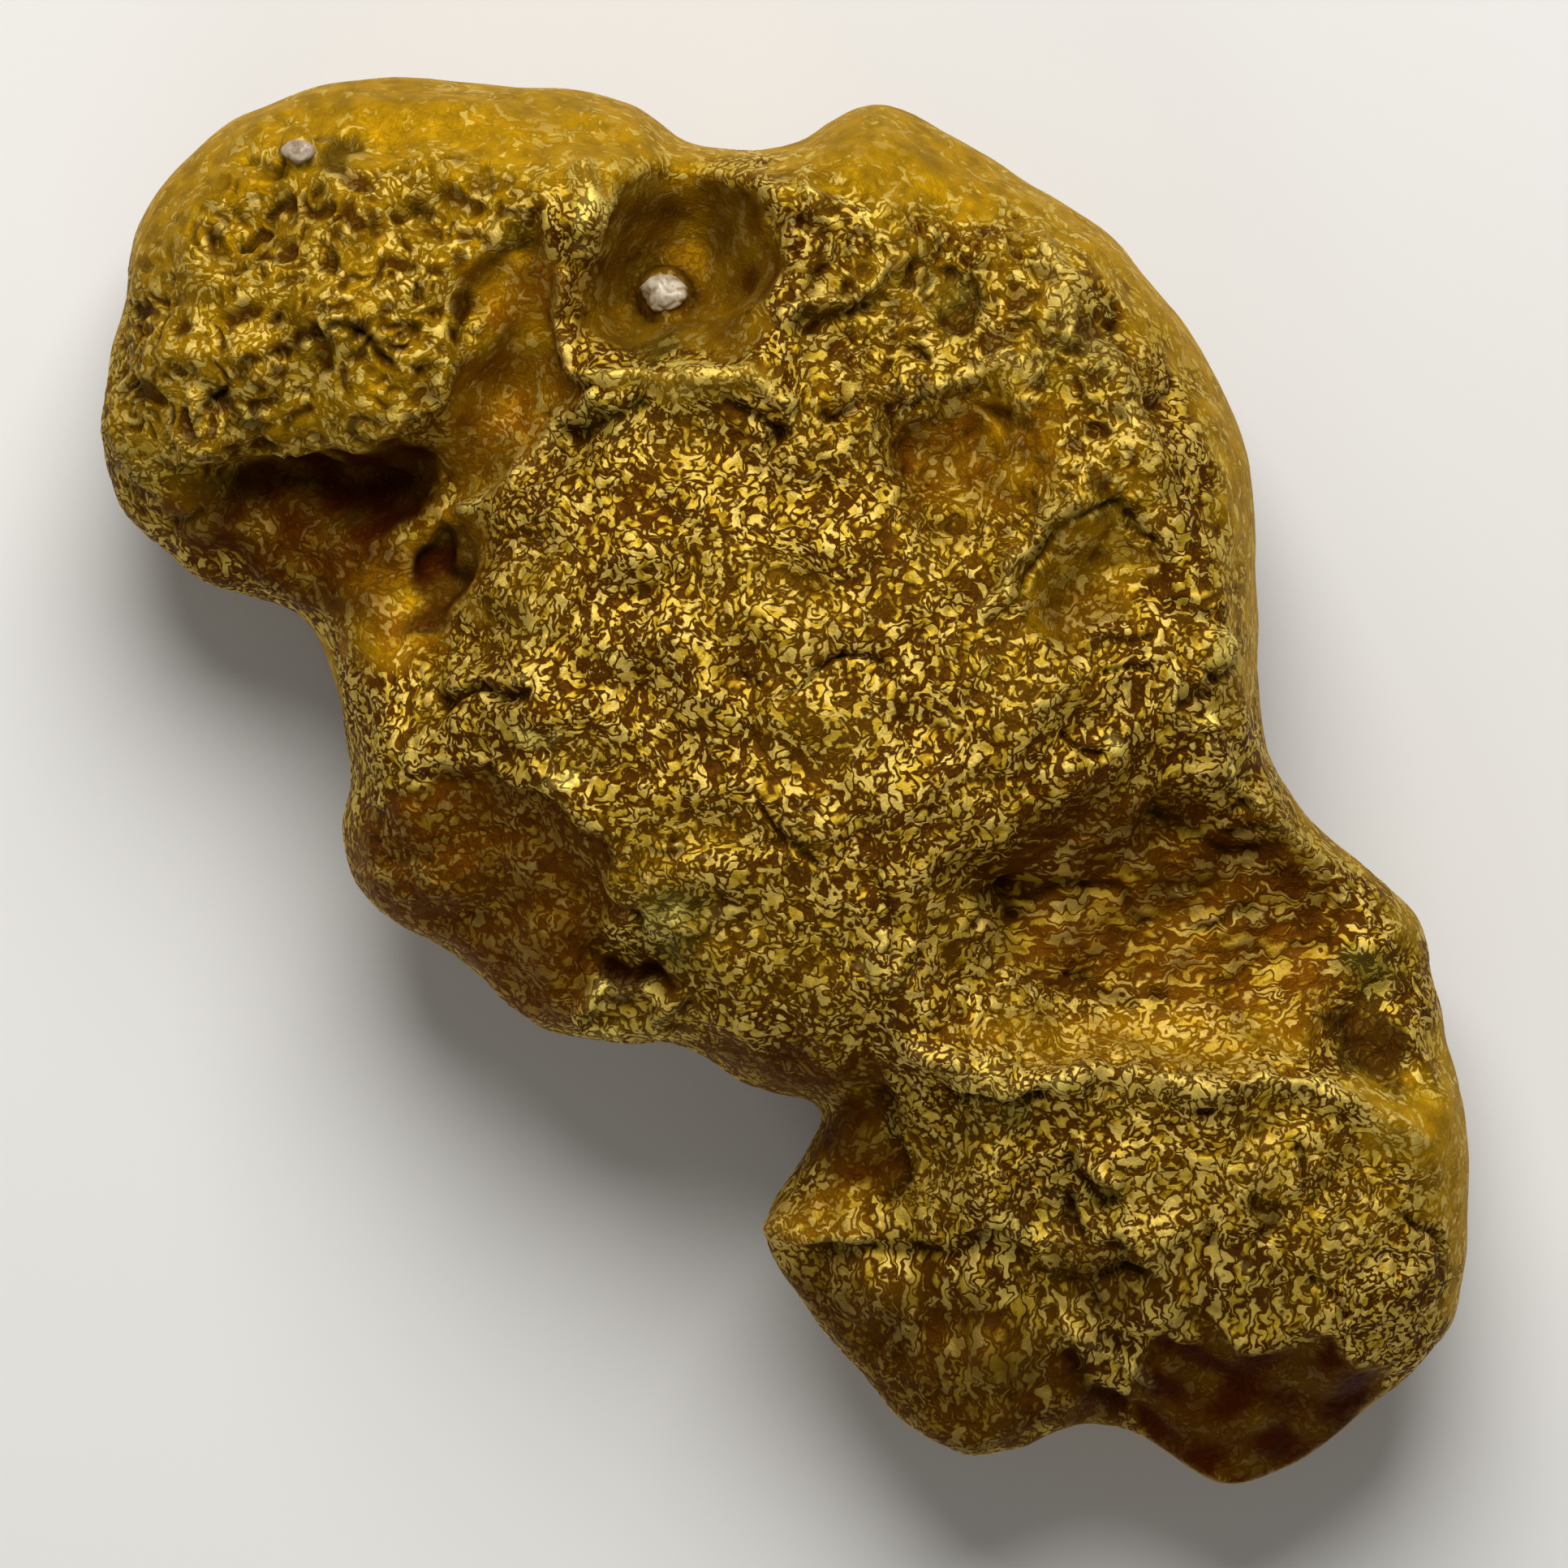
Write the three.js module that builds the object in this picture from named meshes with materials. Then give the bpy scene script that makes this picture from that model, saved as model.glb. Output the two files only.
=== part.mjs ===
// A natural gold nugget: one water-worn lump of native gold, lying on its flatter underside, with two
// small quartz grains still held in hollows of its upper face.
//
// Millimetres, +Z up. The nugget lies on the plane z = 0 with its length along X, its blunt pitted head
// at -X and its thinner tail at +X. The origin is under the middle of its bounding box.
//
// The gold is one closed skin. formAt() says how far a point is outside it, from the outline seen from
// above, the heights of the upper and the under face, and the way the edge rounds over between them.
// skinOf() then nets that form with facets of one size.
import * as THREE from "three";
import { ImprovedNoise } from "three/addons/math/ImprovedNoise.js";

// Driving dimensions.
const FACET = 0.47; // length of a facet's side
const RIM_HEIGHT = 2.7; // height of the widest level above the table
const UPPER_ROUND = 1.5; // how far in from the outline the upper face is still rounding over
const UNDER_ROUND = 2.6; // the same on the under face, which the stream bed has worn rounder
const SPOT_SPREAD = 0.75; // how far one spot height reaches
const UNDER_SPREAD = 1.9; // the same on the smoother under face
const LUMP_HEIGHT = 0.16; // uneven lumps all over
const LUMP_LENGTH = 1.7; // distance from lump to lump
const SEAT_GAP = 0.03; // clearance between a quartz grain and the gold under it
const LARGE_GRAIN = [0.35, 0.31, 0.27]; // half sizes of the quartz grain in the deep pit
const SMALL_GRAIN = [0.27, 0.2, 0.17]; // half sizes of the one near the tip of the head

const GOLD = { color: 0xb88a1e, roughness: 0.38, metalness: 1 };
const QUARTZ = { color: 0xcfc8bc, roughness: 0.35, metalness: 0 };

// The outline seen from above, anticlockwise: x, y, and where the edge is rounder or sharper than usual,
// a third value that multiplies UPPER_ROUND.
const OUTLINE = [
  // the tail's end and its upper side, up to the narrow waist
  [11.98, -1, 0.9], [11.88, -0.15, 0.7], [11.45, 0.45, 0.6], [10.95, 1.02, 0.6], [10.2, 1.75, 0.6],
  [9.55, 2.2, 0.6], [8.55, 2.75, 0.6], [8, 3.15, 0.6], [7.4, 3.46, 0.6], [6.7, 3.44, 0.6], [6.1, 3.27, 0.5],
  [5.2, 3.32, 0.5], [4.5, 3.44, 0.6], [4, 3.75, 0.6],
  // the long smooth shoulder of the broad middle
  [3.4, 4.25, 0.6], [2.5, 5.08, 0.7], [1.6, 5.9, 0.8], [1, 6.28, 0.9], [0.1, 6.62, 1], [-0.7, 6.8, 1],
  [-1.6, 6.84, 1], [-2.2, 6.9, 1], [-3, 6.75, 1.1], [-4, 6.48, 1.3], [-5, 6.23, 1.4], [-5.6, 6, 1.4],
  [-6.02, 5.7, 1.2], [-6.14, 5.3, 1], [-6.14, 4.8, 0.8],
  // the saddle beside the deep pit
  [-6.42, 4.28, 0.6], [-6.95, 3.82, 0.6], [-7.4, 3.5, 0.7], [-8.05, 3.5, 1],
  // the blunt head
  [-8.65, 3.15, 1.3], [-9.25, 2.65, 1.4], [-9.75, 2.15, 1.4], [-10.5, 1.55, 1.3], [-11.25, 0.7, 1.2],
  [-11.6, 0, 1], [-11.85, -0.65, 0.8], [-11.95, -1.4, 0.8], [-11.9, -2.25, 0.8], [-11.65, -2.9, 0.9],
  [-11.1, -3.52, 1], [-10.75, -4.15, 1], [-10.2, -4.85, 1], [-9.75, -5.3, 1], [-9.2, -5.52, 1],
  [-8.4, -5.6, 1], [-7.6, -5.48, 1], [-6.9, -5.15, 0.8], [-6.4, -4.84, 0.6], [-5.9, -4.82, 0.5],
  // the foot that stands out below the middle
  [-5.2, -5.2, 0.5], [-4.35, -5.72, 0.6], [-3.95, -6.2, 0.8], [-3.55, -6.65, 0.8], [-2.9, -6.92, 0.8],
  [-2.2, -6.82, 0.8], [-1.5, -6.58, 0.8], [-0.6, -6.5, 0.8], [0.15, -6.42, 0.8], [0.65, -6.1, 0.8],
  [1.1, -5.7, 0.7], [1.5, -5.28, 0.7], [2.05, -5.02, 0.8], [2.9, -4.84, 0.8], [3.3, -4.55, 0.5],
  // the cleft, the spur beside it and the underside of the tail
  [3.62, -4.25, 0.3], [3.86, -4.6, 0.4], [3.94, -5.2, 0.5], [4.06, -5.75, 0.5], [4.3, -6.18, 0.6],
  [5, -6.38, 0.9], [6, -6.54, 1.1], [6.75, -6.55, 1.2], [7.35, -6.64, 1.3], [8, -6.54, 1.3],
  [8.6, -6.22, 1.2], [9, -5.6, 1], [9.14, -5, 0.8], [9.5, -4.62, 0.8], [10.1, -4.31, 1], [10.9, -4.22, 1.2],
  [11.4, -3.88, 1.3], [11.74, -3.2, 1.3], [11.87, -2.5, 1.2], [11.9, -1.8, 1],
];

// Spot heights of the upper face, each x, y, z.
const UPPER_FACE = {
  headPlateau: [
    [-11.1, -1.2, 4.7], [-10.4, 0.7, 4.9], [-10.4, -2.6, 5.2], [-9.4, -0.8, 5.7], [-9.2, 1.5, 5.5],
    [-9.2, -2.4, 5.7], [-9.3, -4.1, 5.0], [-8.5, -3.2, 5.8], [-8.2, -1.3, 6.1], [-8.3, 0.3, 6.0],
    [-7.8, 1.7, 6.2], [-7.4, -0.9, 6.0], [-7.9, 2.7, 5.3], [-7.4, -1.8, 6.0],
  ],
  hollowUnderTheHead: [
    [-6.9, -3.0, 3.8], [-7.7, -3.8, 4.0], [-8.3, -4.7, 4.2], [-6.9, -4.4, 4.1], [-6.0, -4.1, 4.3],
  ],
  valleyBehindTheHead: [[-7.4, 0.8, 4.8], [-6.7, -0.2, 4.7], [-6.3, -1.1, 4.6], [-6.2, -1.9, 4.5]],
  shelfByTheValley: [[-5.4, -2.9, 5.0], [-5.1, -3.9, 5.0], [-4.6, -4.6, 4.9], [-5.3, -4.6, 4.4]],
  middle: [
    [-5.1, -0.9, 6.2], [-4.8, 0.6, 6.2], [-4.2, -2.2, 6.3], [-3.2, -0.6, 6.6], [-3.1, 1.1, 6.4],
    [-2.9, -2.2, 6.6], [-1.5, 0.6, 6.8], [-1.3, -1.4, 6.9], [0.3, -0.3, 7.0], [0.8, 1.4, 6.8],
    [0.6, -2.2, 6.9], [2.1, 0.3, 7.0], [2.2, -1.6, 6.9], [1.6, -3.1, 6.6], [2.6, 2.0, 6.6],
    [3.0, -2.6, 6.6], [-0.4, -3.4, 6.6], [-2.8, -3.5, 6.5], [-1.4, -3.6, 6.5], [3.0, 0.7, 6.5],
    [3.4, -1.6, 6.4], [3.9, -2.6, 6.3],
  ],
  crown: [
    [-5.7, 4.4, 5.8], [-4.6, 4.2, 5.9], [-4.2, 3.1, 6.1], [-3.5, 2.2, 6.3], [-4.2, 5.3, 5.6],
    [-2.9, 5.6, 5.7], [-2.6, 4.1, 6.2], [-1.2, 5.3, 6.1], [0.2, 4.7, 6.3], [0.3, 3.0, 6.4],
    [1.6, 4.7, 6.0], [-0.3, 6.0, 5.6], [2.8, 3.7, 6.0], [3.8, 3.1, 5.8], [4.3, 2.7, 5.6],
  ],
  troughBeforeTheTail: [
    [3.6, -0.4, 4.9], [4.2, 1.0, 5.1], [4.9, 2.1, 4.7], [5.0, 0.4, 4.6], [5.6, -0.4, 4.5],
    [6.0, 1.4, 4.3], [6.5, 2.4, 4.1], [6.9, 0.7, 4.5], [7.6, 1.6, 4.4], [4.9, -1.1, 4.9],
    [4.1, -1.7, 5.3], [5.7, 3.0, 4.4], [7.2, 2.9, 4.5], [8.5, 1.9, 4.2],
  ],
  tailPlateau: [
    [4.9, -2.6, 5.9], [5.9, -1.7, 6.0], [6.8, -0.8, 6.0], [7.6, 0.1, 5.9], [8.6, 0.9, 5.6],
    [9.6, 1.1, 5.1], [10.6, 0.4, 4.9], [9.2, -0.8, 5.6], [10.5, -1.0, 5.1], [8.1, -2.1, 5.6],
    [6.6, -2.9, 5.5], [5.6, -3.4, 5.6], [9.6, -1.9, 5.2], [7.9, -3.5, 5.1], [11.2, -1.0, 4.3],
  ],
  tailFlank: [
    [10.2, -2.9, 3.9], [11.1, -2.4, 3.6], [10.8, -3.6, 3.5], [9.5, -3.6, 3.9], [8.9, -4.4, 3.8],
    [7.5, -4.8, 4.5], [6.0, -4.9, 4.6], [8.2, -5.5, 4.0], [6.8, -5.8, 3.9], [5.2, -5.4, 4.3],
  ],
  spur: [[4.3, -4.3, 3.6], [4.8, -4.6, 3.9], [4.5, -5.5, 4.4], [3.7, -3.9, 4.2]],
  footFlank: [
    [-3.5, -4.7, 5.8], [-2.2, -4.8, 5.5], [-0.8, -4.9, 5.4], [-3.2, -5.8, 5.1], [-1.8, -5.8, 4.8],
    [-0.3, -5.7, 4.8], [0.7, -5.3, 4.9], [1.9, -4.4, 5.3], [2.9, -4.1, 5.4], [1.1, -3.9, 6.1],
    [2.5, -3.5, 6.3],
  ],
};

// Hollows sunk into the upper face: centre, half sizes, turn in degrees and depth.
const HOLLOWS = {
  deepPit: { at: [-6.0, 2.35], radii: [1.25, 1.5], turn: 8, depth: 1.5 },
  pocketByTheWaist: { at: [8.4, 1.68], radii: [0.8, 0.65], turn: 8, depth: 0.5 },
  smoothDish: { at: [-1.5, 3.1], radii: [1.4, 1.1], turn: -14, depth: 0.55 },
  darkBasin: { at: [-3.2, 4.7], radii: [0.9, 0.7], turn: -20, depth: 0.4 },
  greenBasin: { at: [-3.6, 3.5], radii: [0.8, 0.7], turn: 0, depth: 0.35 },
  fanDish: { at: [1.0, 3.25], radii: [0.9, 1.3], turn: -8, depth: 0.45 },
  olivePocket: { at: [-5.35, -3.0], radii: [0.6, 0.95], turn: 24, depth: 0.5 },
  nicheInTheFoot: { at: [0.5, -4.85], radii: [0.75, 0.6], turn: 38, depth: 0.7 },
  troughEnd: { at: [3.4, -0.35], radii: [0.65, 0.6], turn: 30, depth: 0.5 },
  tailDish: { at: [6.9, -3.1], radii: [0.95, 0.7], turn: 0, depth: 0.35 },
  headPit: { at: [-10.35, -1.6], radii: [0.75, 0.65], turn: 10, depth: 0.3 },
  headUpperPit: { at: [-9.2, 0.3], radii: [0.75, 0.65], turn: -20, depth: 0.3 },
};

// Crests that stand up from the upper face, and furrows sunk in it: how far the sides reach from the
// path, the height at the path, and the path.
const CRESTS = {
  headLedge: { side: 0.7, height: 0.35, path: [[-8, 1.7], [-7.4, 0.2], [-7, -1.2], [-7, -2], [-7.5, -2.7]] },
  headCorner: { side: 0.7, height: 0.3, path: [[-8.1, 2.05], [-7.2, 1.75]] },
  wallBelowThePit: { side: 0.6, height: 0.4, path: [[-7.1, 1.1], [-6.5, 0.5], [-5.7, 0.1]] },
  ledgeBesideThePit: { side: 0.7, height: 0.3, path: [[-5.6, 0.4], [-4.9, 1.5], [-4.2, 2.1], [-3, 2]] },
  ridgeAboveThePit: { side: 0.6, height: 0.25, path: [[-6.2, 3.9], [-5, 3.1], [-4.3, 2.4]] },
  fanRidge: { side: 0.6, height: 0.25, path: [[0.1, 4.3], [0.2, 3.4], [0.5, 2.6]] },
  shoulderCorner: { side: 0.7, height: 0.3, path: [[2.6, 4.3], [3.6, 3.3], [4.4, 3]] },
  troughRim: { side: 0.6, height: 0.3, path: [[4.4, 3], [6.2, 2.95], [7.6, 3], [8.5, 2.45]] },
  tailRidge: { side: 0.7, height: 0.4, path: [[3.9, -2.8], [5, -2.3], [6.6, -0.8], [8.1, 0.7], [9, 1.2]] },
  footEdge: { side: 0.7, height: 0.3, path: [[-3.7, -3.7], [-2.7, -3.8], [-1, -4.05], [0.3, -4.3]] },
  footLip: { side: 0.6, height: 0.3, path: [[0.2, -5.7], [0.7, -5.4], [1.2, -4.9]] },
  facetEdge: { side: 0.6, height: 0.25, path: [[9.1, -2.9], [10.2, -2.2], [11.4, -1.5]] },
};
const FURROWS = {
  underTheHead: { side: 0.8, height: -0.7, path: [[-6.7, -2.5], [-7.1, -3.2], [-7.9, -4]] },
  valleyFloor: { side: 0.7, height: -0.3, path: [[-6.9, 0.4], [-6.5, -0.5], [-6.2, -1.8]] },
  besideTheSaddle: { side: 0.6, height: -0.3, path: [[-5.6, 0], [-5.3, -0.6]] },
  underTheTailRidge: { side: 0.6, height: -0.3, path: [[4.8, -3], [5.6, -2.3], [6.5, -2.6]] },
  troughCrease: { side: 0.6, height: -0.3, path: [[4, 2], [5.4, 2.3], [6.6, 2.5]] },
};

// Spot heights of the under face. Those below the table are worn flat on it, and carry the nugget.
const UNDER_FACE = {
  feet: [
    [-8.9, -2.6, -0.5], [-8.4, 0.6, -0.4], [-2.6, 3.9, -0.5], [1.4, 3.3, -0.3], [-2.0, -3.9, -0.5],
    [7.4, -3.4, -0.5], [8.6, -0.4, -0.5],
  ],
  hollows: [
    [-5.6, 0.2, 1.3], [-5.3, -3.1, 0.9], [4.6, 1.2, 1.2], [3.6, -2.6, 1.1], [0.2, 0.1, 0.5],
    [-2.8, 0.4, 0.4], [6.2, -0.9, 0.4], [10.3, -2.4, 0.3], [-10.4, -0.9, 0.3], [5.2, -4.8, 0.6],
    [0.6, 5.3, 0.4], [-5.0, 5.0, 0.6], [0.2, -5.2, 0.5], [6.9, 2.4, 0.8],
  ],
};

const noise = new ImprovedNoise();
const clamp = THREE.MathUtils.clamp;

// The outline as short straight steps along one smooth closed curve. z carries the rounding.
const outlineSteps = new THREE.CatmullRomCurve3(
  OUTLINE.map(([x, y, round]) => new THREE.Vector3(x, y, round)),
  true,
).getPoints(OUTLINE.length * 4);

// How far (x, y) lies inside the outline, negative outside it, and the rounding at the nearest point.
function insideOutline(x, y) {
  let nearest = Infinity;
  let round = 1;
  let inside = false;
  for (let i = 1; i < outlineSteps.length; i++) {
    const a = outlineSteps[i - 1];
    const b = outlineSteps[i];
    const dx = b.x - a.x;
    const dy = b.y - a.y;
    const along = clamp(((x - a.x) * dx + (y - a.y) * dy) / (dx * dx + dy * dy), 0, 1);
    const away = Math.hypot(x - a.x - along * dx, y - a.y - along * dy);
    if (away < nearest) {
      nearest = away;
      round = a.z + along * (b.z - a.z);
    }
    if (a.y > y !== b.y > y && x < a.x + ((y - a.y) / dy) * dx) inside = !inside;
  }
  return { depth: inside ? nearest : -nearest, round };
}

// The height of a face at (x, y): the spot heights around it, each weighing less with distance.
function faceHeight(spots, spread, x, y) {
  let weights = 1e-9;
  let sum = 0;
  for (const [sx, sy, height] of spots) {
    const weight = Math.exp(-((x - sx) ** 2 + (y - sy) ** 2) / (2 * spread * spread)) + 1e-7;
    weights += weight;
    sum += weight * height;
  }
  return sum / weights;
}

// How deep a hollow is at (x, y): flat-floored, with walls that steepen towards its edge.
function hollowDepth({ at, radii, turn, depth }, x, y) {
  const angle = THREE.MathUtils.degToRad(turn);
  const dx = x - at[0];
  const dy = y - at[1];
  const u = (dx * Math.cos(angle) + dy * Math.sin(angle)) / radii[0];
  const v = (dy * Math.cos(angle) - dx * Math.sin(angle)) / radii[1];
  return depth * (1 - THREE.MathUtils.smoothstep(Math.hypot(u, v), 0.25, 1.2));
}

// The height a crest adds at (x, y), or a furrow takes away: full at its path and none beyond its sides.
function strokeHeight({ path, side, height }, x, y) {
  let away = side;
  for (let i = 1; i < path.length; i++) {
    const [ax, ay] = path[i - 1];
    const dx = path[i][0] - ax;
    const dy = path[i][1] - ay;
    const along = clamp(((x - ax) * dx + (y - ay) * dy) / (dx * dx + dy * dy), 0, 1);
    away = Math.min(away, Math.hypot(x - ax - along * dx, y - ay - along * dy));
  }
  return height * (1 - THREE.MathUtils.smoothstep(away, 0, side));
}

const lump = (x, y, z) => LUMP_HEIGHT * noise.noise(x / LUMP_LENGTH, y / LUMP_LENGTH, z / LUMP_LENGTH + 5.3);

const upperSpots = Object.values(UPPER_FACE).flat();
const underSpots = Object.values(UNDER_FACE).flat();
const hollows = Object.values(HOLLOWS);
const strokes = [...Object.values(CRESTS), ...Object.values(FURROWS)];

function upperHeight(x, y) {
  let height = faceHeight(upperSpots, SPOT_SPREAD, x, y) + lump(x, y, 9);
  hollows.forEach((hollow) => (height -= hollowDepth(hollow, x, y)));
  strokes.forEach((stroke) => (height += strokeHeight(stroke, x, y)));
  return height;
}

const underHeight = (x, y) => faceHeight(underSpots, UNDER_SPREAD, x, y) + 2 * lump(x, y, -9);

const rimHeight = (x, y) => RIM_HEIGHT + 0.4 * noise.noise(x / 5, y / 5, 3.7);

// How far a point is outside the gold, in millimetres, and negative inside it. Above the rim and below
// it the section is a quarter of an ellipse, from the outline in to the face's own height. The table
// has worn the lowest parts flat at z = 0.
function formAt(x, y, z) {
  const { depth, round } = insideOutline(x, y);
  const rim = rimHeight(x, y);
  const above = z > rim;
  const roundness = above ? UPPER_ROUND * round : UNDER_ROUND;
  const height = above ? upperHeight(x, y) - rim : rim - underHeight(x, y);
  const across = Math.max(0, 1 - depth / roundness);
  const up = Math.abs(z - rim) / height;
  const skin = (Math.hypot(across, up) - 1) * Math.min(roundness, height);
  return Math.max(skin, -z);
}

// The height of the gold's upper surface at (x, y), inside the outline.
function surfaceHeight(x, y) {
  const { depth, round } = insideOutline(x, y);
  const rim = rimHeight(x, y);
  const across = Math.max(0, 1 - depth / (UPPER_ROUND * round));
  return rim + (upperHeight(x, y) - rim) * Math.sqrt(1 - across * across);
}

// A cell's corners are numbered by three bits, one for each axis. Its edges join the corners that differ
// in one bit, and each of its faces is a ring of four corners and the edges between them.
const AXES = [0, 1, 2];
const EDGES = AXES.flatMap((axis) =>
  [0, 1, 2, 3, 4, 5, 6, 7]
    .filter((corner) => !(corner & (1 << axis)))
    .map((corner) => ({ axis, from: corner, to: corner | (1 << axis) })),
);
const edgeBetween = (a, b) =>
  EDGES.findIndex(({ from, to }) => from === Math.min(a, b) && to === Math.max(a, b));
const FACES = AXES.flatMap((axis) =>
  [0, 1].map((side) => {
    const u = 1 << (axis + 1) % 3;
    const v = 1 << (axis + 2) % 3;
    const first = side << axis;
    const ring = [first, first | u, first | u | v, first | v];
    return { ring, edges: ring.map((corner, i) => edgeBetween(corner, ring[(i + 1) % 4])) };
  }),
);

// Which patch of the surface cuts each edge of a cell, or -1 where none does. Two patches that only pass
// through the same cell stay apart, so that the skin never touches itself.
function patchesOf(inside) {
  const patch = EDGES.map(({ from, to }, edge) => (inside[from] === inside[to] ? -1 : edge));
  const join = (a, b) => {
    const dropped = patch[b];
    patch.forEach((p, edge) => (patch[edge] = p === dropped ? patch[a] : p));
  };
  for (const { ring, edges } of FACES) {
    const cut = edges.filter((edge) => patch[edge] >= 0);
    if (cut.length === 2) join(cut[0], cut[1]);
    if (cut.length === 4) {
      const turn = inside[ring[0]] ? 3 : 0;
      join(edges[turn], edges[(turn + 1) % 4]);
      join(edges[(turn + 2) % 4], edges[(turn + 3) % 4]);
    }
  }
  return patch;
}

// Nets the zero level of a form inside a box with square facets of one size: a corner for each patch of
// surface in a cell, and a facet across each cell edge that the surface cuts.
function skinOf(form, low, high, size) {
  const [nx, ny, nz] = high.clone().sub(low).divideScalar(size).ceil().addScalar(1).toArray();
  const step = [1, nx, nx * ny];
  const place = (i, j, k) => new THREE.Vector3(i, j, k).multiplyScalar(size).add(low);
  const least = size * 0.1; // keeps the surface off the cells' own corners, and so the facets from shrinking
  const values = [];
  for (let k = 0; k < nz; k++) {
    for (let j = 0; j < ny; j++) {
      for (let i = 0; i < nx; i++) {
        const value = form(...place(i, j, k));
        values.push(value < 0 ? Math.min(value, -least) : Math.max(value, least));
      }
    }
  }

  const corners = [];
  const cornerOf = new Map();
  const netCell = (i, j, k) => {
    const cell = i + j * step[1] + k * step[2];
    const bits = [0, 1, 2, 3, 4, 5, 6, 7].map((n) => [n & 1, (n >> 1) & 1, n >> 2]);
    const found = bits.map(([x, y, z]) => values[cell + x + y * step[1] + z * step[2]]);
    const patch = patchesOf(found.map((value) => value < 0));
    for (const name of new Set(patch.filter((p) => p >= 0))) {
      const middle = new THREE.Vector3();
      const edges = EDGES.filter((_, edge) => patch[edge] === name);
      for (const { axis, from, to } of edges) {
        const cut = new THREE.Vector3(...bits[from]);
        cut.setComponent(axis, found[from] / (found[from] - found[to]));
        middle.add(cut);
      }
      middle.multiplyScalar(size / edges.length).add(place(i, j, k));
      edges.forEach((edge) => cornerOf.set(cell * 12 + EDGES.indexOf(edge), corners.length));
      corners.push(middle);
    }
  };
  for (let k = 0; k < nz - 1; k++) {
    for (let j = 0; j < ny - 1; j++) {
      for (let i = 0; i < nx - 1; i++) netCell(i, j, k);
    }
  }

  const faces = [];
  values.forEach((first, cell) => {
    for (const axis of AXES) {
      const second = values[cell + step[axis]];
      const u = (axis + 1) % 3;
      const v = (axis + 2) % 3;
      const ring = [[0, 0], [1, 0], [1, 1], [0, 1]].map(([back, side]) => {
        const from = (back << u) | (side << v);
        const edge = edgeBetween(from, from | (1 << axis));
        return cornerOf.get((cell - back * step[u] - side * step[v]) * 12 + edge);
      });
      if (second === undefined || first < 0 === second < 0 || ring.includes(undefined)) continue;
      const [a, b, c, d] = first < 0 ? ring : ring.reverse();
      const acrossFirst = corners[a].distanceTo(corners[c]) < corners[b].distanceTo(corners[d]);
      faces.push(...(acrossFirst ? [a, b, c, a, c, d] : [b, c, d, b, d, a]));
    }
  });

  const even = relax(relax(corners, faces), faces);
  const geometry = new THREE.BufferGeometry().setFromPoints(even.map((corner) => settle(form, corner, size)));
  geometry.setIndex(faces);
  geometry.computeVertexNormals();
  return geometry;
}

// Moves each corner half-way to the middle of its neighbours, which evens the facets out.
function relax(corners, faces) {
  const sums = corners.map(() => new THREE.Vector3());
  const counts = corners.map(() => 0);
  faces.forEach((corner, i) => {
    const next = faces[i % 3 === 2 ? i - 2 : i + 1];
    sums[corner].add(corners[next]);
    counts[corner] += 1;
  });
  return corners.map((corner, i) => corner.clone().lerp(sums[i].divideScalar(counts[i]), 0.5));
}

// Moves a corner onto the surface, by at most a third of a facet.
function settle(form, point, size) {
  const probe = size * 0.02;
  const moved = point.clone();
  for (let turn = 0; turn < 4; turn++) {
    const { x, y, z } = moved;
    const here = form(x, y, z);
    const slope = new THREE.Vector3(
      form(x + probe, y, z) - form(x - probe, y, z),
      form(x, y + probe, z) - form(x, y - probe, z),
      form(x, y, z + probe) - form(x, y, z - probe),
    ).divideScalar(2 * probe);
    if (slope.lengthSq() < 1e-6) break;
    moved.addScaledVector(slope, -here / slope.lengthSq());
  }
  const shift = moved.sub(point);
  return point.clone().add(shift.clampLength(0, size / 3));
}

function goldNugget() {
  const margin = FACET * 1.5;
  const low = new THREE.Vector3(-12 - margin, -7 - margin, -FACET / 2);
  const high = new THREE.Vector3(12 + margin, 7 + margin, 7.5 + margin);
  const mesh = new THREE.Mesh(skinOf(formAt, low, high, FACET), new THREE.MeshStandardMaterial(GOLD));
  mesh.name = "gold_nugget";
  return mesh;
}

// A worn, faceted grain of quartz lying in the gold at (x, y), flat to the slope there and clear of it.
function quartzGrain(name, x, y, halfSizes, turn) {
  const mesh = new THREE.Mesh(new THREE.IcosahedronGeometry(1, 1), new THREE.MeshStandardMaterial(QUARTZ));
  const reach = halfSizes[0];
  const slopeX = (surfaceHeight(x + reach, y) - surfaceHeight(x - reach, y)) / (2 * reach);
  const slopeY = (surfaceHeight(x, y + reach) - surfaceHeight(x, y - reach)) / (2 * reach);
  const up = new THREE.Vector3(-slopeX, -slopeY, 1).normalize();
  mesh.name = name;
  mesh.scale.set(...halfSizes);
  mesh.position.set(x, y, surfaceHeight(x, y));
  mesh.quaternion.setFromUnitVectors(new THREE.Vector3(0, 0, 1), up);
  mesh.rotateZ(THREE.MathUtils.degToRad(turn));
  mesh.updateMatrix();

  const corners = mesh.geometry.attributes.position;
  const corner = new THREE.Vector3();
  let sunk = 0;
  for (let i = 0; i < corners.count; i++) {
    corner.fromBufferAttribute(corners, i).applyMatrix4(mesh.matrix);
    sunk = Math.max(sunk, surfaceHeight(corner.x, corner.y) - corner.z);
  }
  mesh.position.z += sunk + SEAT_GAP;
  return mesh;
}

const nugget = new THREE.Group();
nugget.add(goldNugget());
nugget.add(quartzGrain("quartz_grain_large", -5.96, 1.88, LARGE_GRAIN, 20));
nugget.add(quartzGrain("quartz_grain_small", -10.85, -0.375, SMALL_GRAIN, 35));

export default nugget;
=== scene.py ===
"""A natural gold nugget with two quartz grains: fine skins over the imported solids, on a pale floor."""

import math

import bmesh
import bpy
import numpy as np
from mathutils import Matrix, Vector


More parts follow.
